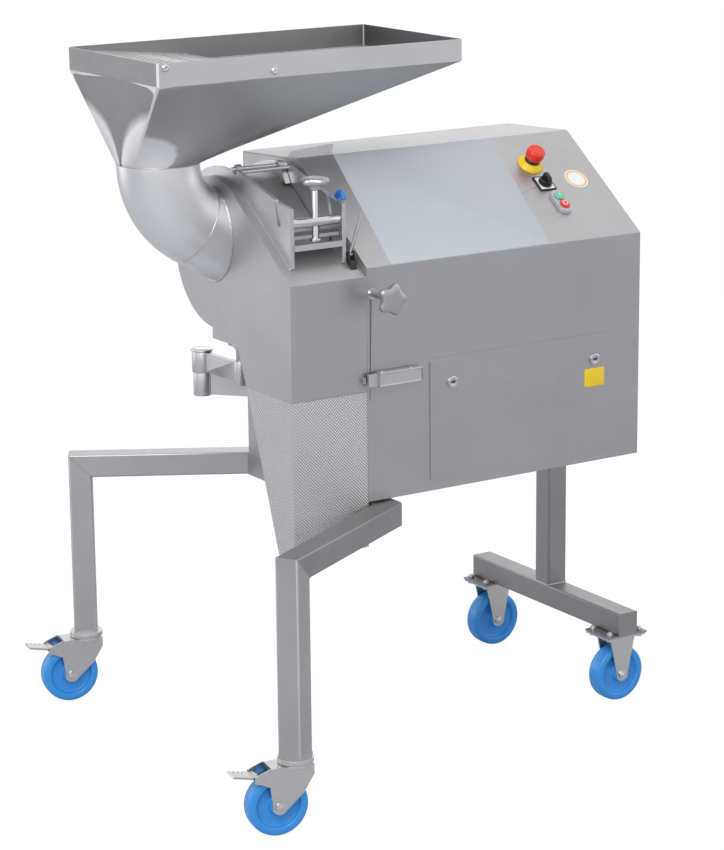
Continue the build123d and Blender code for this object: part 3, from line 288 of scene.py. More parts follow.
def surface_group():
    """Blasted sheet: fine grain, broad cloudiness and faint handling marks as masks and a normal."""
    if "Blasted sheet" in bpy.data.node_groups:
        return bpy.data.node_groups["Blasted sheet"]
    group = bpy.data.node_groups.new("Blasted sheet", "ShaderNodeTree")
    for label, kind, default in (("Grain scale", "NodeSocketFloat", 900.0),
                                 ("Grain depth", "NodeSocketFloat", 0.08),
                                 ("Stretch", "NodeSocketVector", (1.0, 1.0, 1.0))):
        socket = group.interface.new_socket(label, in_out="INPUT", socket_type=kind)
        socket.default_value = default
    for label, kind in (("Cloud", "NodeSocketFloat"), ("Marks", "NodeSocketFloat"),
                        ("Normal", "NodeSocketVector")):
        group.interface.new_socket(label, in_out="OUTPUT", socket_type=kind)
    nodes, links = group.nodes, group.links
    entry, leave = nodes.new("NodeGroupInput"), nodes.new("NodeGroupOutput")
    coord = nodes.new("ShaderNodeTexCoord")
    scale = nodes.new("ShaderNodeVectorMath")
    scale.operation = "MULTIPLY"
    links.new(coord.outputs["Object"], scale.inputs[0])
    links.new(entry.outputs["Stretch"], scale.inputs[1])

    def noise(vector, **values):
        """Noise node on a vector, with values for its inputs."""
        node = nodes.new("ShaderNodeTexNoise")
        for key, value in values.items():
            node.inputs[key].default_value = value
        links.new(vector, node.inputs["Vector"])
        return node

    grain = noise(scale.outputs[0], Detail=3.0)
    links.new(entry.outputs["Grain scale"], grain.inputs["Scale"])
    cloud = noise(coord.outputs["Object"], Scale=4.0, Detail=5.0, Roughness=0.6)
    marks = noise(coord.outputs["Object"], Scale=38.0, Detail=8.0, Roughness=0.75, Distortion=0.4)
    bump = nodes.new("ShaderNodeBump")
    bump.inputs["Distance"].default_value = 0.0004
    links.new(entry.outputs["Grain depth"], bump.inputs["Strength"])
    links.new(grain.outputs["Fac"], bump.inputs["Height"])
    links.new(cloud.outputs["Fac"], leave.inputs["Cloud"])
    links.new(marks.outputs["Fac"], leave.inputs["Marks"])
    links.new(bump.outputs["Normal"], leave.inputs["Normal"])
    return group


def ranged(tree, source, low, high, out_low, out_high):
    """Map Range node from a value's low and high to two others."""
    node = tree.nodes.new("ShaderNodeMapRange")
    for socket, value in zip(("From Min", "From Max", "To Min", "To Max"), (low, high, out_low, out_high)):
        node.inputs[socket].default_value = value
    tree.links.new(source, node.inputs["Value"])
    return node.outputs["Result"]


def blend(tree, factor, first, second):
    """Mix of two colours by a value."""
    node = tree.nodes.new("ShaderNodeMix")
    node.data_type = "RGBA"
    node.inputs["A"].default_value = (*first, 1.0)
    node.inputs["B"].default_value = (*second, 1.0)
    tree.links.new(factor, node.inputs["Factor"])
    return node.outputs["Result"]


def calculated(tree, kind, a, b=0.0, clamp=False):
    """Math node of two values, each a number or a socket."""
    node = tree.nodes.new("ShaderNodeMath")
    node.operation = kind
    node.use_clamp = clamp
    for socket, value in zip(node.inputs, (a, b)):
        if isinstance(value, float):
            socket.default_value = value
        else:
            tree.links.new(value, socket)
    return node.outputs[0]


def mix_shaders(tree, factor, first, second, output):
    """Mix Shader node of two shaders, linked to the surface of an output node."""
    node = tree.nodes.new("ShaderNodeMixShader")
    tree.links.new(factor, node.inputs["Fac"])
    tree.links.new(first.outputs[0], node.inputs[1])
    tree.links.new(second.outputs[0], node.inputs[2])
    tree.links.new(node.outputs[0], tree.nodes[output].inputs["Surface"])


def surfaced(name, dark, light, rough, spread, grain, depth, stretch=(1, 1, 1)):
    """Material on the shared surface group, whose cloud sets the colour and whose marks set the roughness."""
    material, tree, principled = shader(name)
    group = tree.nodes.new("ShaderNodeGroup")
    group.node_tree = surface_group()
    group.inputs["Grain scale"].default_value = grain
    group.inputs["Grain depth"].default_value = depth
    group.inputs["Stretch"].default_value = stretch
    color = blend(tree, ranged(tree, group.outputs["Cloud"], 0.3, 0.7, 0.0, 1.0), dark, light)
    gloss = ranged(tree, group.outputs["Marks"], 0.3, 0.75, rough - spread, rough + spread)
    tree.links.new(color, principled.inputs["Base Color"])
    tree.links.new(gloss, principled.inputs["Roughness"])
    tree.links.new(group.outputs["Normal"], principled.inputs["Normal"])
    return material, tree, principled


def steel_shader(name, tone, rough, spread=0.06, grain=900.0, depth=0.08, stretch=(1, 1, 1),
                 tint=(1.0, 1.0, 1.02)):
    """Stainless steel with a cloudy tone, uneven roughness and a fine grain."""
    dark = tuple(tone * 0.94 * t for t in tint)
    light = tuple(min(tone * 1.05 * t, 1.0) for t in tint)
    material, tree, principled = surfaced(name, dark, light, rough, spread, grain, depth, stretch)
    principled.inputs["Metallic"].default_value = 1.0
    return material, tree, principled


def steel(name, tone, rough, **surface):
    """Material of plain stainless steel."""
    return steel_shader(name, tone, rough, **surface)[0]


def hopper_steel_painted_shading(name, tone, rough, centre):
    """Steel of the folded hopper, with light and shade painted into its colour by the way each wall faces. With
    the normal n and the point p from the hopper's centre, faces with n.z below -0.35 keep the tone, and faces
    with n.z above -0.15 take 1.33 of it, a painted lighter rim band.
    The end where n.x is below -0.8 takes 0.45 of that, and 0.6 again where it slopes, as painted shade. The
    corner fold, where n.x is below -0.24 and |n.y| above 0.06, takes 1.75, a painted highlight. Inside faces,
    where the level parts of p and n oppose and n.z is above -0.1, take 0.58 of their own, as painted shade."""
    material, tree, principled = steel_shader(name, tone, rough)
    base = principled.inputs["Base Color"].links[0].from_socket
    where = tree.nodes.new("ShaderNodeTexCoord")
    facing = tree.nodes.new("ShaderNodeSeparateXYZ")
    point = tree.nodes.new("ShaderNodeSeparateXYZ")
    tree.links.new(where.outputs["Normal"], facing.inputs[0])
    tree.links.new(where.outputs["Object"], point.inputs[0])
    nx, ny, nz = facing.outputs
    # Painted highlight on the corner fold: where the normal turns left and sideways, the colour takes up to 1.75
    # of the tone.
    leftward = ranged(tree, nx, -0.24, -0.16, 1.0, 0.0)
    painted_fold_highlight = ranged(tree, calculated(tree, "ABSOLUTE", ny), 0.02, 0.06, 0.0, 1.75)
    fold = calculated(tree, "MULTIPLY", leftward, painted_fold_highlight)
    # Painted light on the upright rim band, painted shade on the end and on its sloping part.
    rim = ranged(tree, nz, -0.35, -0.15, 1.0, 1.33)
    end = ranged(tree, nx, -0.8, -0.6, 0.45, 1.0)
    sloping_end = ranged(tree, calculated(tree, "MULTIPLY", nx, nz), 0.2, 0.4, 1.0, 0.6)
    painted_wall_shading = calculated(tree, "MULTIPLY", calculated(tree, "MULTIPLY", rim, end), sloping_end)
    outer = calculated(tree, "MAXIMUM", painted_wall_shading, fold)
    # Painted shade on the inside faces, those that turn towards the hopper's middle.
    along = [calculated(tree, "MULTIPLY", calculated(tree, "SUBTRACT", coordinate, float(middle)), normal)
             for coordinate, middle, normal in zip(point.outputs[:2], centre, (nx, ny))]
    facing_in = ranged(tree, calculated(tree, "ADD", *along), -0.01, 0.01, 1.0, 0.0)
    upright = ranged(tree, nz, -0.2, -0.1, 0.0, 1.0)
    painted_inside_shade = ranged(tree, calculated(tree, "MULTIPLY", facing_in, upright), 0.0, 1.0, 1.0, 0.58)
    factor = calculated(tree, "MULTIPLY", outer, painted_inside_shade)
    # The painted light and shade scale the steel's colour.
    painted_shading_scale = tree.nodes.new("ShaderNodeVectorMath")
    painted_shading_scale.operation = "SCALE"
    tree.links.new(base, painted_shading_scale.inputs[0])
    tree.links.new(factor, painted_shading_scale.inputs["Scale"])
    tree.links.new(painted_shading_scale.outputs[0], principled.inputs["Base Color"])
    return material


def embossed(name, tone, rough, pitch):
    """Steel sheet rolled with a lattice: the size of the product of two sine waves along the diagonals. The same
    size darkens the colour in the grooves and lightens it on the bosses: painted shade and highlight of the
    relief.
    """
    material, tree, principled = steel_shader(name, tone, rough)
    coord = tree.nodes.new("ShaderNodeTexCoord")
    split = tree.nodes.new("ShaderNodeSeparateXYZ")
    tree.links.new(coord.outputs["Object"], split.inputs[0])
    flat = calculated(tree, "ADD", split.outputs["X"], split.outputs["Y"])
    wave = 2 * math.pi / (pitch * 1.414)
    diagonals = [calculated(tree, kind, flat, split.outputs["Z"]) for kind in ("ADD", "SUBTRACT")]
    rising, falling = [calculated(tree, "SINE", calculated(tree, "MULTIPLY", d, wave)) for d in diagonals]
    height = calculated(tree, "ABSOLUTE", calculated(tree, "MULTIPLY", rising, falling))
    # Painted shade in the grooves and painted highlight on the bosses, from 0.62 to 1.3 of the tone by the
    # relief's height.
    dark, light = (tone * 0.62, tone * 0.62, tone * 0.64), (tone * 1.3, tone * 1.3, tone * 1.32)
    lattice = blend(tree, ranged(tree, height, 0.05, 0.7, 0.0, 1.0), dark, light)
    tree.links.new(lattice, principled.inputs["Base Color"])
    bump = tree.nodes.new("ShaderNodeBump")
    bump.inputs["Strength"].default_value = 0.9
    bump.inputs["Distance"].default_value = 0.0012
    tree.links.new(height, bump.inputs["Height"])
    fine = principled.inputs["Normal"].links[0].from_socket
    tree.links.new(fine, bump.inputs["Normal"])
    tree.links.new(bump.outputs["Normal"], principled.inputs["Normal"])
    return material


def plastic(name, color, rough, spread=0.04, dust=0.0, coat=0.0):
    """Moulded plastic with a slightly uneven gloss and a faint moulding texture."""
    light = tuple(min(c * 1.08 + dust, 1.0) for c in color)
    material, _, principled = surfaced(name, color, light, rough, spread, grain=1600.0, depth=0.05)
    principled.inputs["Coat Weight"].default_value = coat
    principled.inputs["Coat Roughness"].default_value = 0.12
    return material


# Materials by their names, which the finishes operator fills in
FINISHES = {}


# Sizes and colours

class DicingFinish(bpy.types.PropertyGroup):
    """Tones and colours of the materials"""
    steel_tone: bpy.props.FloatProperty(name="Steel tone", description="Reflectance of the blasted sheet",
                                        default=0.45, min=0.0, max=1.0, subtype="FACTOR")
    steel_rough: bpy.props.FloatProperty(name="Steel roughness", description="Roughness of the blasted sheet",
                                         default=0.46, min=0.0, max=1.0, subtype="FACTOR")
    edge_round: bpy.props.FloatProperty(name="Edge radius", description="Radius of the sheet's bent edges",
                                        default=0.0018, unit="LENGTH", subtype="DISTANCE")
    emboss_pitch: bpy.props.FloatProperty(name="Emboss pitch",
                                          description="Spacing of the lattice rolled into the chute's sheet",
                                          default=0.0098, unit="LENGTH", subtype="DISTANCE")
    tread_color: bpy.props.FloatVectorProperty(name="Tread colour", description="Colour of the wheels",
                                               default=(0.03, 0.28, 0.72), min=0.0, max=1.0, subtype="COLOR")
    film_color: bpy.props.FloatVectorProperty(name="Film colour",
                                              description="Colour of the plain film on the panel",
                                              default=(0.5, 0.525, 0.545), min=0.0, max=1.0, subtype="COLOR")


class DicingFittings(bpy.types.PropertyGroup):
    """Sizes of the fittings"""
    bead_radius: bpy.props.FloatProperty(name="Bead radius",
                                         description="Radius of the weld beads in millimetres", default=1.3)
    wheel_radius: bpy.props.FloatProperty(name="Wheel radius",
                                          description="Radius of the castor wheels in millimetres",
                                          default=62.5)
    knob_lobes: bpy.props.IntProperty(name="Knob lobes", description="Number of lobes of the star knobs",
                                      default=5, min=3, max=10)


class DICING_OT_stage(bpy.types.Operator):
    """Pale floor, soft lamps and the camera"""
    bl_idname = "dicing.stage"
    bl_label = "Stage"

    def execute(self, context):
        scene = context.scene
        scene.view_settings.view_transform = "Standard"
        world = bpy.data.worlds.new("Studio")
        scene.world = world
        world.use_nodes = True
        tree = world.node_tree
        back = tree.nodes["Background"]
        path = tree.nodes.new("ShaderNodeLightPath")
        seen = tree.nodes.new("ShaderNodeBackground")
        seen.inputs["Color"].default_value = (1.0, 1.0, 1.0, 1.0)
        seen.inputs["Strength"].default_value = 1.0
        back.inputs["Color"].default_value = (0.93, 0.95, 1.0, 1.0)
        back.inputs["Strength"].default_value = 0.75
        shown = path.outputs["Is Camera Ray"]
        for kind in ("Is Glossy Ray", "Is Transmission Ray"):
            shown = calculated(tree, "ADD", shown, path.outputs[kind], clamp=True)
        mix_shaders(tree, shown, back, seen, "World Output")

        reach, lines = 14.0, 9
        x, y = np.meshgrid(*[np.linspace(-reach, reach, lines)] * 2, indexing="ij")
        points = np.stack([x, y, np.zeros_like(x)], -1).reshape(-1, 3)
        mesh = bpy.data.meshes.new("studio_floor")
        mesh.from_pydata(points.tolist(), [], quads(lines, lines)[:, ::-1].tolist())
        floor = bpy.data.objects.new("studio_floor", mesh)
        scene.collection.objects.link(floor)
        material, tree, principled = shader("Studio floor")
        principled.inputs["Base Color"].default_value = (0.6, 0.6, 0.61, 1.0)
        principled.inputs["Roughness"].default_value = 0.7
        principled.inputs["Specular IOR Level"].default_value = 0.2
        mesh.materials.append(material)
        glow = tree.nodes.new("ShaderNodeEmission")
        glow.inputs["Strength"].default_value = 1.16
        path = tree.nodes.new("ShaderNodeLightPath")
        share = calculated(tree, "MULTIPLY", path.outputs["Is Camera Ray"], 0.8)
        mix_shaders(tree, share, principled, glow, "Material Output")

        for name, spot, aim, width, height, power in (
                ("Key", (-2.6, -2.2, 3.4), (0.1, 0.0, 0.8), 2.4, 2.4, 80.0),
                ("Top", (1.2, 0.3, 4.2), (0.3, 0.0, 1.0), 3.2, 2.6, 9.0),
                ("Back left", (-2.8, 3.2, 1.1), (-0.3, 0.0, 0.9), 2.0, 2.0, 12.0),
                ("Back right", (2.6, 3.6, 2.5), (0.3, 0.2, 1.3), 2.6, 1.4, 8.0),
                ("Right", (3.6, -1.6, 1.9), (0.1, 0.0, 0.8), 1.6, 2.4, 8.0)):
            lamp = bpy.data.lights.new(name, "AREA")
            lamp.shape = "RECTANGLE"
            lamp.size, lamp.size_y = width, height
            lamp.energy = power
            lamp_object = bpy.data.objects.new(name, lamp)
            lamp_object.visible_camera = False
            scene.collection.objects.link(lamp_object)
            backward = unit(np.asarray(spot) - np.asarray(aim))
            first, second = side_axes(backward)
            lamp_object.matrix_world = matrix_of((first, second, backward), spot)

        yaw, pitch, roll = math.radians(32.82), math.radians(14.1), math.radians(-0.56)
        ahead = np.array([math.sin(yaw) * math.cos(pitch), math.cos(yaw) * math.cos(pitch), -math.sin(pitch)])
        right = np.array([math.cos(yaw), -math.sin(yaw), 0.0])
        top = np.cross(right, ahead)
        turned_right = right * math.cos(roll) + top * math.sin(roll)
        turned_top = -right * math.sin(roll) + top * math.cos(roll)
        camera = bpy.data.cameras.new("Camera")
        camera.sensor_width = 36.0
        camera.lens = 118.44
        camera.clip_end = 60.0
        camera_object = bpy.data.objects.new("Camera", camera)
        scene.collection.objects.link(camera_object)
        eye = place((-2977.9, -4594.4, 2102.3))
        camera_object.matrix_world = matrix_of((turned_right, turned_top, -ahead), eye)
        scene.camera = camera_object
        return {"FINISHED"}


NODE_FINISHES = (
    ("Blasted steel", 0.001, "housing_shell"),
    ("Blasted steel", 0.0009, "casing"),
    ("Blasted steel", 0.0004, "bulkhead door"),
    # Hopper: steel with light and shade painted into its colour by the way each face turns.
    ("Hopper steel painted light and shade", 0.0006, "hopper"),
    # Feed pipe: a lighter copy of the sheet steel, light painted into its colour.
    ("Pipe steel with painted light", 0.0, "feed_pipe"),
    ("Tube steel", 0.0006, "front_leg back_leg back_beam cross_tube"),
    # Front beam, rear post and rear foot take a darker copy of the tube steel, shade painted into their colour.
    ("Steel with painted shade", 0.0006, "front_beam rear_post rear_foot"),
    ("Embossed steel", 0.0008, "chute"),
    ("Turned steel", 0.0005, "crossbar clamp_spindle release_lever latch_base slicing_drum slicing_knife "
                             "disc_spindle crosscut_spindle main_shaft impeller motor_shaft"),
    ("Pressed steel", 0.0006, "front_castor_head back_castor_head front_castor_fork back_castor_fork "
                              "front_fixed_bracket back_fixed_bracket front_brake_pedal back_brake_pedal"),
    ("Plate steel", 0.0006, "top_flap"),
    ("Plate steel", 0.0008, "finger_guard"),
    ("Plate steel", 0.001, "latch_handle hinge_bracket hinge_arm"),
    ("Plate steel", 0.0012, "gate_frame"),
    ("Grey paint", 0.0, "motor"),
    ("Black rubber", 0.0, "main_belt knife_belt"),
    ("Black rubber", 0.0008, "lever_boot"),
)


class DICING_OT_finishes(bpy.types.Operator):
    """Procedural finishes of the frame's own solids, some with light and shade painted into their colour"""
    bl_idname = "dicing.finishes"
    bl_label = "Finishes"

    def execute(self, context):
        look = context.scene.dicing_finish
        tone, rough = look.steel_tone, look.steel_rough
        hopper_centre = np.mean(NODES["hopper"].bound_box, axis=0)
        for material in (
                steel("Blasted steel", tone, rough),
                # A lighter copy of the sheet steel, 1.75 of its tone: light painted into the feed pipe's colour.
                # Its lower roughness is its own.
                steel("Pipe steel with painted light", tone * 1.75, rough - 0.08),
                # Hopper steel: light and shade painted into the colour by the way each face turns.
                hopper_steel_painted_shading("Hopper steel painted light and shade", tone, rough, hopper_centre),
                steel("Tube steel", tone * 1.02, rough - 0.03, grain=700.0, depth=0.06, stretch=(1, 1, 0.06)),
                # A darker copy of the steel, 0.72 of its tone: shade painted into its colour.
                steel("Steel with painted shade", tone * 0.72, rough, grain=700.0, depth=0.06),
                embossed("Embossed steel", tone * 1.32, rough - 0.06, look.emboss_pitch),
                steel("Turned steel", 0.62, 0.2, spread=0.05, grain=1400.0, depth=0.03),
                steel("Cast steel", 0.46, 0.4, spread=0.06, grain=500.0, depth=0.16),
                steel("Pressed steel", 0.6, 0.27, spread=0.07, grain=1200.0, depth=0.04, tint=(1.0, 1.0, 1.01)),
                steel("Weld bead", 0.5, 0.36, spread=0.08, grain=1500.0, depth=0.1),
                steel("Plate steel", tone * 1.3, rough - 0.06),
                plastic("Blue tread", tuple(look.tread_color), 0.33, coat=0.15),
                plastic("Black plastic", (0.012, 0.012, 0.014), 0.32, dust=0.004),
                plastic("Black rubber", (0.015, 0.015, 0.016), 0.6, dust=0.006),
                plastic("Grey paint", (0.3, 0.32, 0.35), 0.4),
                plastic("Yellow plastic", (0.88, 0.6, 0.012), 0.3),
                plastic("Red plastic", (0.8, 0.03, 0.012), 0.25),
                plastic("Green plastic", (0.16, 0.54, 0.34), 0.25),
                plastic("White plastic", (0.82, 0.83, 0.84), 0.3),
                plastic("Clear bezel", (0.42, 0.44, 0.45), 0.14, coat=0.6),
                plastic("Blue plastic", (0.0, 0.17, 0.6), 0.3, coat=0.2),
                plastic("Panel film", tuple(look.film_color), 0.8, spread=0.03),
                plastic("Amber film", (0.85, 0.5, 0.1), 0.4)):
            FINISHES[material.name] = material
        bent = ("Blasted steel", look.edge_round, "housing_pan gate")
        for finish, width, names in (bent, *NODE_FINISHES):
            for name in names.split():
                node = NODES[name]
                node.data.materials.clear()
                node.data.materials.append(FINISHES[finish])
                if width:
                    round_edges(node, width)
        return {"FINISHED"}


class DICING_OT_wheels(bpy.types.Operator):
    """Blue castor wheels with crowned treads, recessed webs and hub bosses"""
    bl_idname = "dicing.wheels"
    bl_label = "Wheels"

    def execute(self, context):
        fittings = context.scene.dicing_fittings
        r = fittings.wheel_radius
        side = [(6.1, 21.5), (15.5, 21.5), (17.4, 20.6), (18.2, 18.0), (19.2, 13.0), (21.0, 11.0), (24.0, 10.2),
                (39.0, 10.2), (42.0, 10.8), (43.8, 12.4), (45.0, 15.5), (46.5, 18.2), (49.0, 19.0),
                (r - 6.5, 19.0), (r - 3.4, 18.0), (r - 1.3, 15.6), (r - 0.4, 12.0), (r, 6.0)]
        profile = side + [(a, -b) for a, b in side[::-1]]
        wheels = [(f"{n}_castor_wheel", np.array([*at, r]) + ROLLING * CASTOR_TRAIL, AXLE, f"{n}_caster_wheel",
                   f"{n}_swivel_wheel") for n, at in LEG_PLACES.items()]
        wheels += [(f"{n}_fixed_castor_wheel", (FIXED_CASTOR_X, y, r), DEEP, f"{n}_fixed_roller",
                    f"{n}_fixed_wheel") for n, y in FIXED_CASTOR_Y.items()]
        for name, centre, axis, body, node in wheels:
            piece = turned(name, profile, centre, axis, body, "blue_tread", FINISHES["Blue tread"], around=96,
                           hollow=True, angle=50.0)
            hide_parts(node)
        return {"FINISHED"}


class DICING_OT_castor_fittings(bpy.types.Operator):
    """Swivel races and axle nuts of the castors"""
    bl_idname = "dicing.castor_fittings"
    bl_label = "Castor fittings"

    def execute(self, context):
        race = [(30.0, 143.2), (33.8, 143.2), (35.2, 144.4), (35.6, 146.4), (34.8, 148.2), (33.2, 149.2),
                (35.0, 150.2), (35.8, 151.8), (35.4, 153.8), (34.2, 154.9), (30.0, 154.9)]
        for n, (x, y) in LEG_PLACES.items():
            turned(f"{n}_swivel_race", race, (x, y, 0.0), UP, "stand", "zinc_steel", FINISHES["Pressed steel"],
                   around=72)
        nut = [(0.1, 0.0), (8.2, 0.0), (9.0, 0.8), (9.0, 4.6), (8.2, 5.4), (5.4, 5.5), (5.0, 5.9), (5.0, 8.2),
               (4.2, 9.0), (0.1, 9.2)]
        axles = [(f"{n}_axle_nut", np.array([*at, AXLE_Z]) + ROLLING * CASTOR_TRAIL, AXLE, f"{n}_castor")
                 for n, at in LEG_PLACES.items()]
        axles += [(f"{n}_fixed_nut", np.array([FIXED_CASTOR_X, y, AXLE_Z]), DEEP, "stand")
                  for n, y in FIXED_CASTOR_Y.items()]
        for name, centre, axis, body in axles:
            for sign, label in ((-1, "near"), (1, "far")):
                turned(f"{name}_{label}", nut, centre + axis * sign * FORK_SIDE, axis * sign, body,
                       "zinc_steel", FINISHES["Turned steel"], around=6)
        return {"FINISHED"}


class DICING_OT_star_knobs(bpy.types.Operator):
    """Cast star knobs of the gate spindle and of the casing clamp"""
    bl_idname = "dicing.star_knobs"
    bl_label = "Star knobs"

    def execute(self, context):
        fittings = context.scene.dicing_fittings
        cap = [(0.3, 24.0), (12.0, 24.0), (21.0, 23.8), (25.0, 22.8), (27.2, 20.4), (28.0, 17.0), (27.4, 13.0),
               (25.2, 10.6), (20.0, 9.4), (13.6, 9.0), (12.4, 7.6), (12.0, 0.6), (11.4, 0.0), (6.2, 0.0)]
        piece = turned("gate_star_knob", cap, SPINDLE_KNOB, UP, "spindle_grip", "bright_steel",
                       FINISHES["Cast steel"], around=144, lobes=fittings.knob_lobes, depth=0.11)
        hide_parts("spindle_knob")
        stem = [(0.3, 80.0), (14.0, 80.0), (23.0, 79.6), (27.0, 78.2), (29.0, 75.0), (29.6, 71.0), (28.6, 66.0),
                (25.0, 63.0), (19.0, 61.8), (12.8, 61.4), (12.2, 59.4), (12.0, 53.0), (11.4, 52.2), (6.2, 52.0),
                (6.0, 51.0), (6.0, -20.0), (5.0, -21.5), (0.3, -21.8)]
        piece = turned("casing_star_knob", stem, CLAMP_KNOB, FRONT, "clamp", "bright_steel",
                       FINISHES["Cast steel"], around=144, lobes=fittings.knob_lobes, depth=0.14)
        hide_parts("clamp_knob")
        washer = [(6.2, 0.0), (11.0, 0.0), (11.6, 0.5), (11.6, 1.6), (11.0, 2.1), (6.2, 2.1)]
        turned("clamp_washer", washer, CLAMP_KNOB, FRONT, "clamp", "bright_steel", FINISHES["Turned steel"],
               around=48)
        return {"FINISHED"}


def turned_on_panel(name, profile, at, body, slot, finish, **more):
    """Turned piece that stands on the sloped panel."""
    return turned(name, profile, panel_point(*at), PANEL_NORMAL, body, slot, FINISHES[finish], **more)


def plate_on_panel(name, outline, at, out, thickness, body, finish, edge):
    """Plate that lies over the sloped panel, out along its normal."""
    return plate(name, outline, panel_point(*at, out), PANEL_NORMAL, PANEL_UP, thickness, body,
                 FINISHES[finish], edge)


class DICING_OT_controls(bpy.types.Operator):
    """Emergency stop, selector, twin push button, plain disc and film on the sloped panel"""
    bl_idname = "dicing.controls"
    bl_label = "Controls"

    def execute(self, context):
        collar = [(0.3, 0.2), (28.4, 0.2), (29.0, 1.0), (28.6, 3.0), (24.0, 7.4), (19.0, 11.0), (18.2, 12.0),
                  (14.0, 12.2), (8.2, 12.2)]
        piece = turned_on_panel("stop_collar", collar, STOP_PLACE, "stand", "yellow_plastic", "Yellow plastic",
                                around=72)
        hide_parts("estop_collar")
        sleeve = [(8.3, 12.0), (16.4, 12.0), (16.8, 12.6), (16.8, 19.0), (15.6, 20.4), (8.3, 20.6)]
        turned_on_panel("stop_sleeve", sleeve, STOP_PLACE, "stand", "black_plastic", "Black plastic")
        cap = [(0.3, -20.0), (7.9, -20.0), (7.9, 20.8), (15.0, 21.0), (18.0, 22.0), (19.4, 24.0), (20.0, 28.0),
               (20.0, 38.0), (19.3, 40.8), (17.4, 42.6), (14.6, 43.4), (12.8, 43.5), (12.0, 42.9), (0.3, 42.7)]
        piece = turned_on_panel("stop_cap", cap, STOP_PLACE, "estop", "red_plastic", "Red plastic", around=72)
        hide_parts("estop_button")

        frame_outline, face_outline = rounded_rectangle(42, 42, 3), rounded_rectangle(35, 35, 2)
        piece = plate_on_panel("selector_frame", frame_outline, SELECTOR_PLACE, 0.0, 3.0, "stand",
                               "Black plastic", 0.8)
        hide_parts("selector_plate")
        plate_on_panel("selector_face", face_outline, SELECTOR_PLACE, 3.0, 0.4, "stand",
                       "White plastic", 0.1)
        ring = [(5.3, 3.4), (15.0, 3.4), (15.4, 4.0), (15.0, 7.6), (14.4, 8.0), (5.3, 8.0)]
        turned_on_panel("selector_ring", ring, SELECTOR_PLACE, "stand", "black_plastic", "Black plastic")
        dial = [(0.3, -20.0), (4.8, -20.0), (4.8, 8.2), (12.6, 8.3), (13.0, 9.0), (12.6, 13.4), (11.6, 14.2),
                (0.3, 14.4)]
        piece = turned_on_panel("selector_base", dial, SELECTOR_PLACE, "selector", "black_plastic",
                                "Black plastic")
        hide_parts("selector_knob")
        fin = np.array([(12.4, 0), (12.4, 5), (11.0, 9.5), (7.0, 11.6), (-7.0, 12.2), (-11.0, 10.6),
                        (-12.6, 6.5), (-12.6, 0)])
        half_fin, fin_out = 4.4, 13.8
        across, up = SELECTOR_PLACE
        handle = strip("selector_fin", fin, panel_point(across - half_fin, up, fin_out),
                       panel_point(across + half_fin, up, fin_out), PANEL_NORMAL, "selector",
                       FINISHES["Black plastic"])
        round_edges(handle, 0.0012, 3)

        piece = plate_on_panel("button_frame", rounded_rectangle(31, 66, 15.4, 14), TWIN_PLACE, 0.0, 8.0,
                               "stand", "Clear bezel", 2.2)
        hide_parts("button_bezel")
        across, up = TWIN_PLACE
        start, stop = (across, up + LENS_OFFSET), (across, up - LENS_OFFSET)
        lens = [(0.3, -12.0), (9.3, -12.0), (9.4, 9.0), (11.2, 9.1), (11.6, 9.8), (11.2, 12.0), (9.6, 13.2),
                (0.3, 13.9)]
        piece = turned_on_panel("start_lens", lens, start, "start", "green_plastic", "Green plastic", around=56)
        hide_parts("start_button")
        piece = turned_on_panel("stop_lens", lens, stop, "stop", "red_plastic", "Red plastic", around=56)
        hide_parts("stop_button")
        mark = [(4.6, 13.7), (6.2, 13.6), (6.4, 14.0), (6.2, 14.3), (4.6, 14.4)]
        turned_on_panel("stop_mark", mark, stop, "stop", "red_plastic", "White plastic", around=48, hollow=True)
        plate_on_panel("start_mark", rounded_rectangle(1.8, 9.0, 0.6), start, 13.85, 0.3, "start",
                       "White plastic", 0.1)

        disc = [(0.3, 0.0), (27.0, 0.0), (27.0, 0.35), (0.3, 0.4)]
        turned_on_panel("round_plate_rim", disc, DISC_PLACE, "stand", "yellow_plastic", "White plastic",
                        around=80)
        band = [(20.0, 0.3), (24.2, 0.3), (24.2, 0.5), (20.0, 0.55)]
        turned_on_panel("round_plate_band", band, DISC_PLACE, "stand", "yellow_plastic", "Amber film",
                        around=80, hollow=True)
        film = rounded_rectangle(397.0, 319.0, 1.0)
        lower_lean, upper_lean = -33.0, -3.0
        film[:, 0] += np.where(film[:, 1] < 0, lower_lean, upper_lean)
        plate_on_panel("panel_film", film, (290.0, 160.5), 0.0, 0.4, "stand", "Panel film", 0.1)
        return {"FINISHED"}


def ring_of(centre, first, second, count):
    """Points of a closed curve: the cosine of the angle along the first vector and its sine along the second."""
    angle = np.linspace(0, 2 * math.pi, count, endpoint=False)[:, None]
    return np.asarray(centre) + np.cos(angle) * first + np.sin(angle) * second


def surface_z(y):
    """Height of the casing's outside over a depth: the straight slope, then the round."""
    tangent_y, tangent_z = DRUM_Y - CASING_RADIUS * math.sin(SLOPE), DRUM_Z + CASING_RADIUS * math.cos(SLOPE)
    round_z = DRUM_Z + np.sqrt(np.maximum(CASING_RADIUS ** 2 - (y - DRUM_Y) ** 2, 0))
    return np.where(y < tangent_y, tangent_z - (tangent_y - y) * math.tan(SLOPE), round_z)


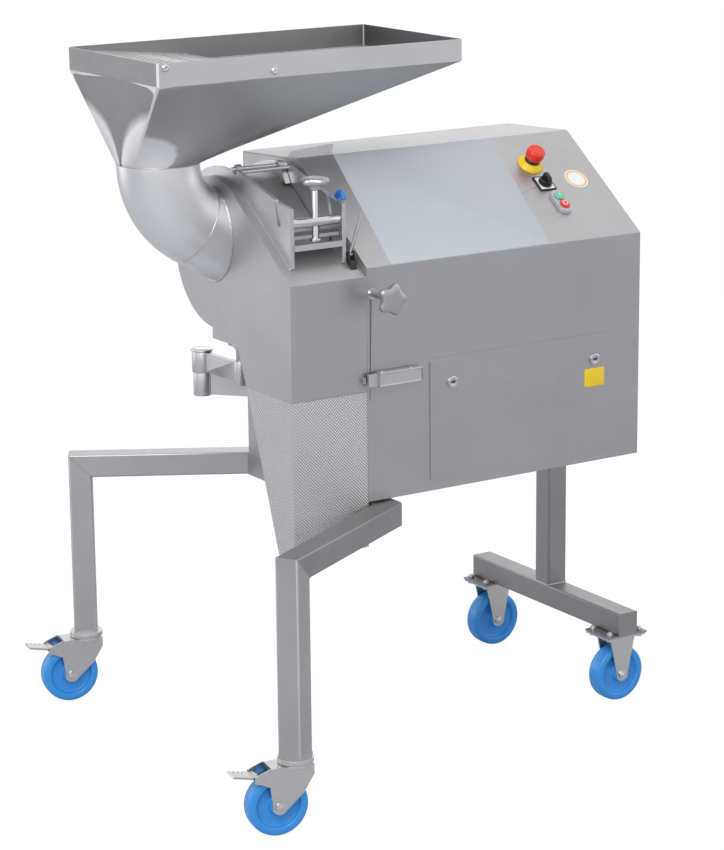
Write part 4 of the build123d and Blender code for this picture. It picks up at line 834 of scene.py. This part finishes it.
class DICING_OT_welds(bpy.types.Operator):
    """Ground weld beads of the pipe, the gate's cheeks, the hinge, the legs and the post's foot"""
    bl_idname = "dicing.welds"
    bl_label = "Weld beads"

    def execute(self, context):
        fittings = context.scene.dicing_fittings
        r = fittings.bead_radius
        metal = FINISHES["Weld bead"]
        pipe_across, pipe_deep = ACROSS * PIPE_RADIUS, DEEP * PIPE_RADIUS
        neck = ring_of((PIPE_X, PIPE_Y, PIPE_TOP), pipe_across, pipe_deep, 200)
        bead("neck_weld", neck, r * 0.7, "cutting_casing", metal, closed=True, ripple=0.18)
        across, down = math.cos(BEND_SEAM), math.sin(BEND_SEAM)
        seam_centre = np.array([PIPE_X + BEND_RADIUS * (1 - across), PIPE_Y, PIPE_TOP - BEND_RADIUS * down])
        seam_radius = PIPE_RADIUS - 0.3
        seam = ring_of(seam_centre, np.array([across, 0, down]) * seam_radius, DEEP * seam_radius, 200)
        bead("bend_weld", seam, r * 0.75, "cutting_casing", metal, closed=True, ripple=0.15)
        wall_z = seam_centre[2] - (CASING_WALL_X - seam_centre[0]) * across / down
        wall = ring_of((CASING_WALL_X - 0.1, PIPE_Y, wall_z), pipe_deep, UP * PIPE_RADIUS / math.cos(PIPE_LEAN),
                       160)
        bead("wall_weld", wall, r * 1.5, "cutting_casing", metal, closed=True, ripple=0.15)
        y = np.linspace(CHEEK_START, DRUM_Y, 90)
        for name, x in CHEEK_WELDS.items():
            path = np.stack([np.full_like(y, x), y, surface_z(y) + 0.4], -1)
            bead(name, path, r * 0.9, "cutting_casing", metal, ripple=0.2)
        half_plate, beside_plate = 6.0, 6.6
        for name, body, radius, (low, high), toward in (
                ("lower_barrel", "stand", 19.4, (742.0, 780.0), (160.0, -176.0)),
                ("upper_barrel", "arm", 21.4, (791.0, 828.0), (10.0, -141.0))):
            toward = unit(toward)
            aside = np.array([-toward[1], toward[0]])
            joint = np.array([HINGE_X, HINGE_Y]) + toward * math.sqrt(radius ** 2 - half_plate ** 2)
            for side, label in ((-1, "left"), (1, "right")):
                x, y = joint + aside * side * beside_plate
                path = np.stack([np.full(24, x), np.full(24, y), np.linspace(low, high, 24)], -1)
                bead(f"{name}_weld_{label}", path, r * 1.2, body, metal, ripple=0.25)
        leg_face, half_leg, mitre_high, mitre_low = 25.2, 25.1, 561.0, 511.0
        for name, turn in (("front", math.radians(30.0)), ("back", math.radians(-30.0))):
            run = np.array([math.cos(turn), math.sin(turn), 0.0])
            out = np.array([math.sin(turn), -math.cos(turn), 0.0])
            middle = np.array([*LEG_PLACES[name], 0.0]) + out * leg_face
            high, low = middle - run * half_leg + UP * mitre_high, middle + run * half_leg + UP * mitre_low
            path = high + np.linspace(0, 1, 40)[:, None] * (low - high)
            bead(f"{name}_mitre_weld", path, 0.55, "stand", metal, around=6, ripple=0.2)
        square = rounded_rectangle(51.5, 51.5, 4.5)
        path = np.stack([POST_X + square[:, 0], POST_Y + square[:, 1], np.full(len(square), FOOT_TOP)], -1)
        bead("post_foot_weld", path, 1.6, "stand", metal, closed=True)
        return {"FINISHED"}


class DICING_OT_small_hardware(bpy.types.Operator):
    """Locks, latch cover, rim screws, hinge cap, shelf bolt, sensor hook and plain plate"""
    bl_idname = "dicing.small_hardware"
    bl_label = "Small hardware"

    def execute(self, context):
        bright = FINISHES["Turned steel"]
        blue = FINISHES["Blue plastic"]
        lock = [(5.6, 3.0), (5.6, 5.4), (6.6, 6.0), (10.0, 6.2), (12.4, 5.4), (13.0, 4.0), (13.0, 2.2),
                (10.8, 2.0), (10.8, -11.0), (0.3, -11.0), (0.3, 2.8)]
        slot = [(-1.6, 0), (-1.6, 2.2), (1.6, 2.2), (1.6, 0)]
        half_slot, slot_y, cam_y, cam_drop = 5.2, -2.9, 9.0, 19.5
        for name, x in LOCK_PLACES.items():
            body = f"{name}_door_lock"
            piece = turned(f"{name}_lock_body", lock, (x, 0.0, LOCK_Z), FRONT, body, "bright_steel", bright)
            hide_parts(f"{name}_lock")
            strip(f"{name}_lock_bit", slot, (x - half_slot, slot_y, LOCK_Z), (x + half_slot, slot_y, LOCK_Z),
                  FRONT, body, FINISHES["Black plastic"])
            plate(f"{name}_lock_cam", rounded_rectangle(14.0, 57.0, 2.0), (x, cam_y, LOCK_Z - cam_drop), FRONT,
                  UP, 3.0, body, bright, 0.5)
        rim = [(-15.0, 1.3), (-15.0, 2.8), (-13.8, 3.6), (-12.2, 3.5), (-11.4, 2.0), (11.4, 2.0), (12.2, 3.5),
               (13.8, 3.6), (15.0, 2.8), (15.0, 1.3)]
        handle = strip("latch_cover", rim, (16.5, -16.6, LATCH_Z), (119.5, -16.6, LATCH_Z), FRONT, "latch",
                       FINISHES["Plate steel"])
        round_edges(handle, 0.0007, 2)
        rivet = [(0.3, 2.4), (1.6, 2.2), (2.6, 1.4), (3.0, 0.0), (3.0, -1.0)]
        for x in (26.0, 96.0):
            turned(f"latch_rivet_{int(x)}", rivet, (x, -12.0, 835.8), UP, "latch", "bright_steel", bright,
                   around=24)
        screw = [(0.3, 2.9), (1.9, 2.9), (2.1, 3.9), (4.2, 4.4), (6.2, 3.6), (7.4, 2.0), (7.8, 0.0)]
        for label, x, z in (("left", -379.0, 1463.0), ("right", -134.0, 1440.0)):
            turned(f"rim_screw_{label}", screw, (x, 119.0, z), FRONT, "cutting_casing", "bright_steel", bright,
                   around=40)
        cap = [(0.3, 837.2), (12.0, 837.0), (20.0, 836.0), (23.2, 834.4), (23.6, 832.6), (22.8, 831.4),
               (0.3, 831.4)]
        turned("hinge_cap", cap, (HINGE_X, HINGE_Y, 0.0), UP, "stand", "steel", FINISHES["Pressed steel"])
        bolt = [(0.3, 0.0), (8.0, 0.0), (9.0, 0.7), (9.0, 6.0), (8.0, 6.8), (4.6, 6.9), (4.2, 7.6), (4.2, 12.0),
                (0.3, 12.2)]
        turned("shelf_bolt", bolt, (-168.0, 232.0, 874.0), -UP, "cutting_casing", "bright_steel", bright,
               around=6)

        corners = np.array([(-15.0, 84, 1146), (-15.4, 87, 1160), (-15.4, 86, 1174), (-15.2, 82, 1186),
                            (-15.0, 76, 1193), (-15.0, 69, 1194), (-15.0, 62, 1189), (-15.0, 58, 1179)])
        steps, numbers, window = np.linspace(0, len(corners) - 1, 48), np.arange(len(corners)), 7
        path = np.stack([np.interp(steps, numbers, column) for column in corners.T], -1)
        padded = np.pad(path, ((window // 2, window // 2), (0, 0)), "edge")
        path = np.stack([np.convolve(column, np.ones(window) / window, "valid") for column in padded.T], -1)
        bead("sensor_hook", path, 6.0, "cutting_casing", blue, around=20)
        plug = [(0.3, 0.0), (5.6, 0.0), (6.2, 0.8), (6.2, 12.0), (5.4, 13.2), (0.3, 13.4)]
        turned("sensor_plug", plug, (-27.0, 84.0, 1152.0), ACROSS, "cutting_casing", "blue_tread", blue,
               around=32)
        plate("plain_plate", rounded_rectangle(52.0, 39.0, 2.5), (572.0, -2.0, 750.0), FRONT, UP, 0.5,
              "access_door", FINISHES["Yellow plastic"], 0.15)
        return {"FINISHED"}


class DICING_PT_panel(bpy.types.Panel):
    """Lists the settings and the steps of the dressing"""
    bl_idname = "DICING_PT_panel"
    bl_label = "Dicing machine"
    bl_space_type = "VIEW_3D"
    bl_region_type = "UI"
    bl_category = "Dicing machine"

    def draw(self, context):
        for group in (context.scene.dicing_finish, context.scene.dicing_fittings):
            for key in group.bl_rna.properties.keys():
                if key not in ("rna_type", "name"):
                    self.layout.prop(group, key)
        for operator in OPERATORS:
            self.layout.operator(operator.bl_idname)


OPERATORS = (DICING_OT_stage, DICING_OT_finishes, DICING_OT_wheels, DICING_OT_castor_fittings,
             DICING_OT_star_knobs, DICING_OT_controls, DICING_OT_welds, DICING_OT_small_hardware)
CLASSES = (DicingFinish, DicingFittings, *OPERATORS, DICING_PT_panel)


def register():
    """Registers the classes and adds the settings to the scene."""
    for cls in CLASSES:
        bpy.utils.register_class(cls)
    bpy.types.Scene.dicing_finish = bpy.props.PointerProperty(type=DicingFinish)
    bpy.types.Scene.dicing_fittings = bpy.props.PointerProperty(type=DicingFittings)


def unregister():
    """Takes the settings and the classes away again."""
    del bpy.types.Scene.dicing_fittings
    del bpy.types.Scene.dicing_finish
    for cls in reversed(CLASSES):
        bpy.utils.unregister_class(cls)


def main():
    """Runs every step in order."""
    register()
    for operator in OPERATORS:
        group, name = operator.bl_idname.split(".")
        getattr(getattr(bpy.ops, group), name)()


if __name__ == "__main__":
    main()
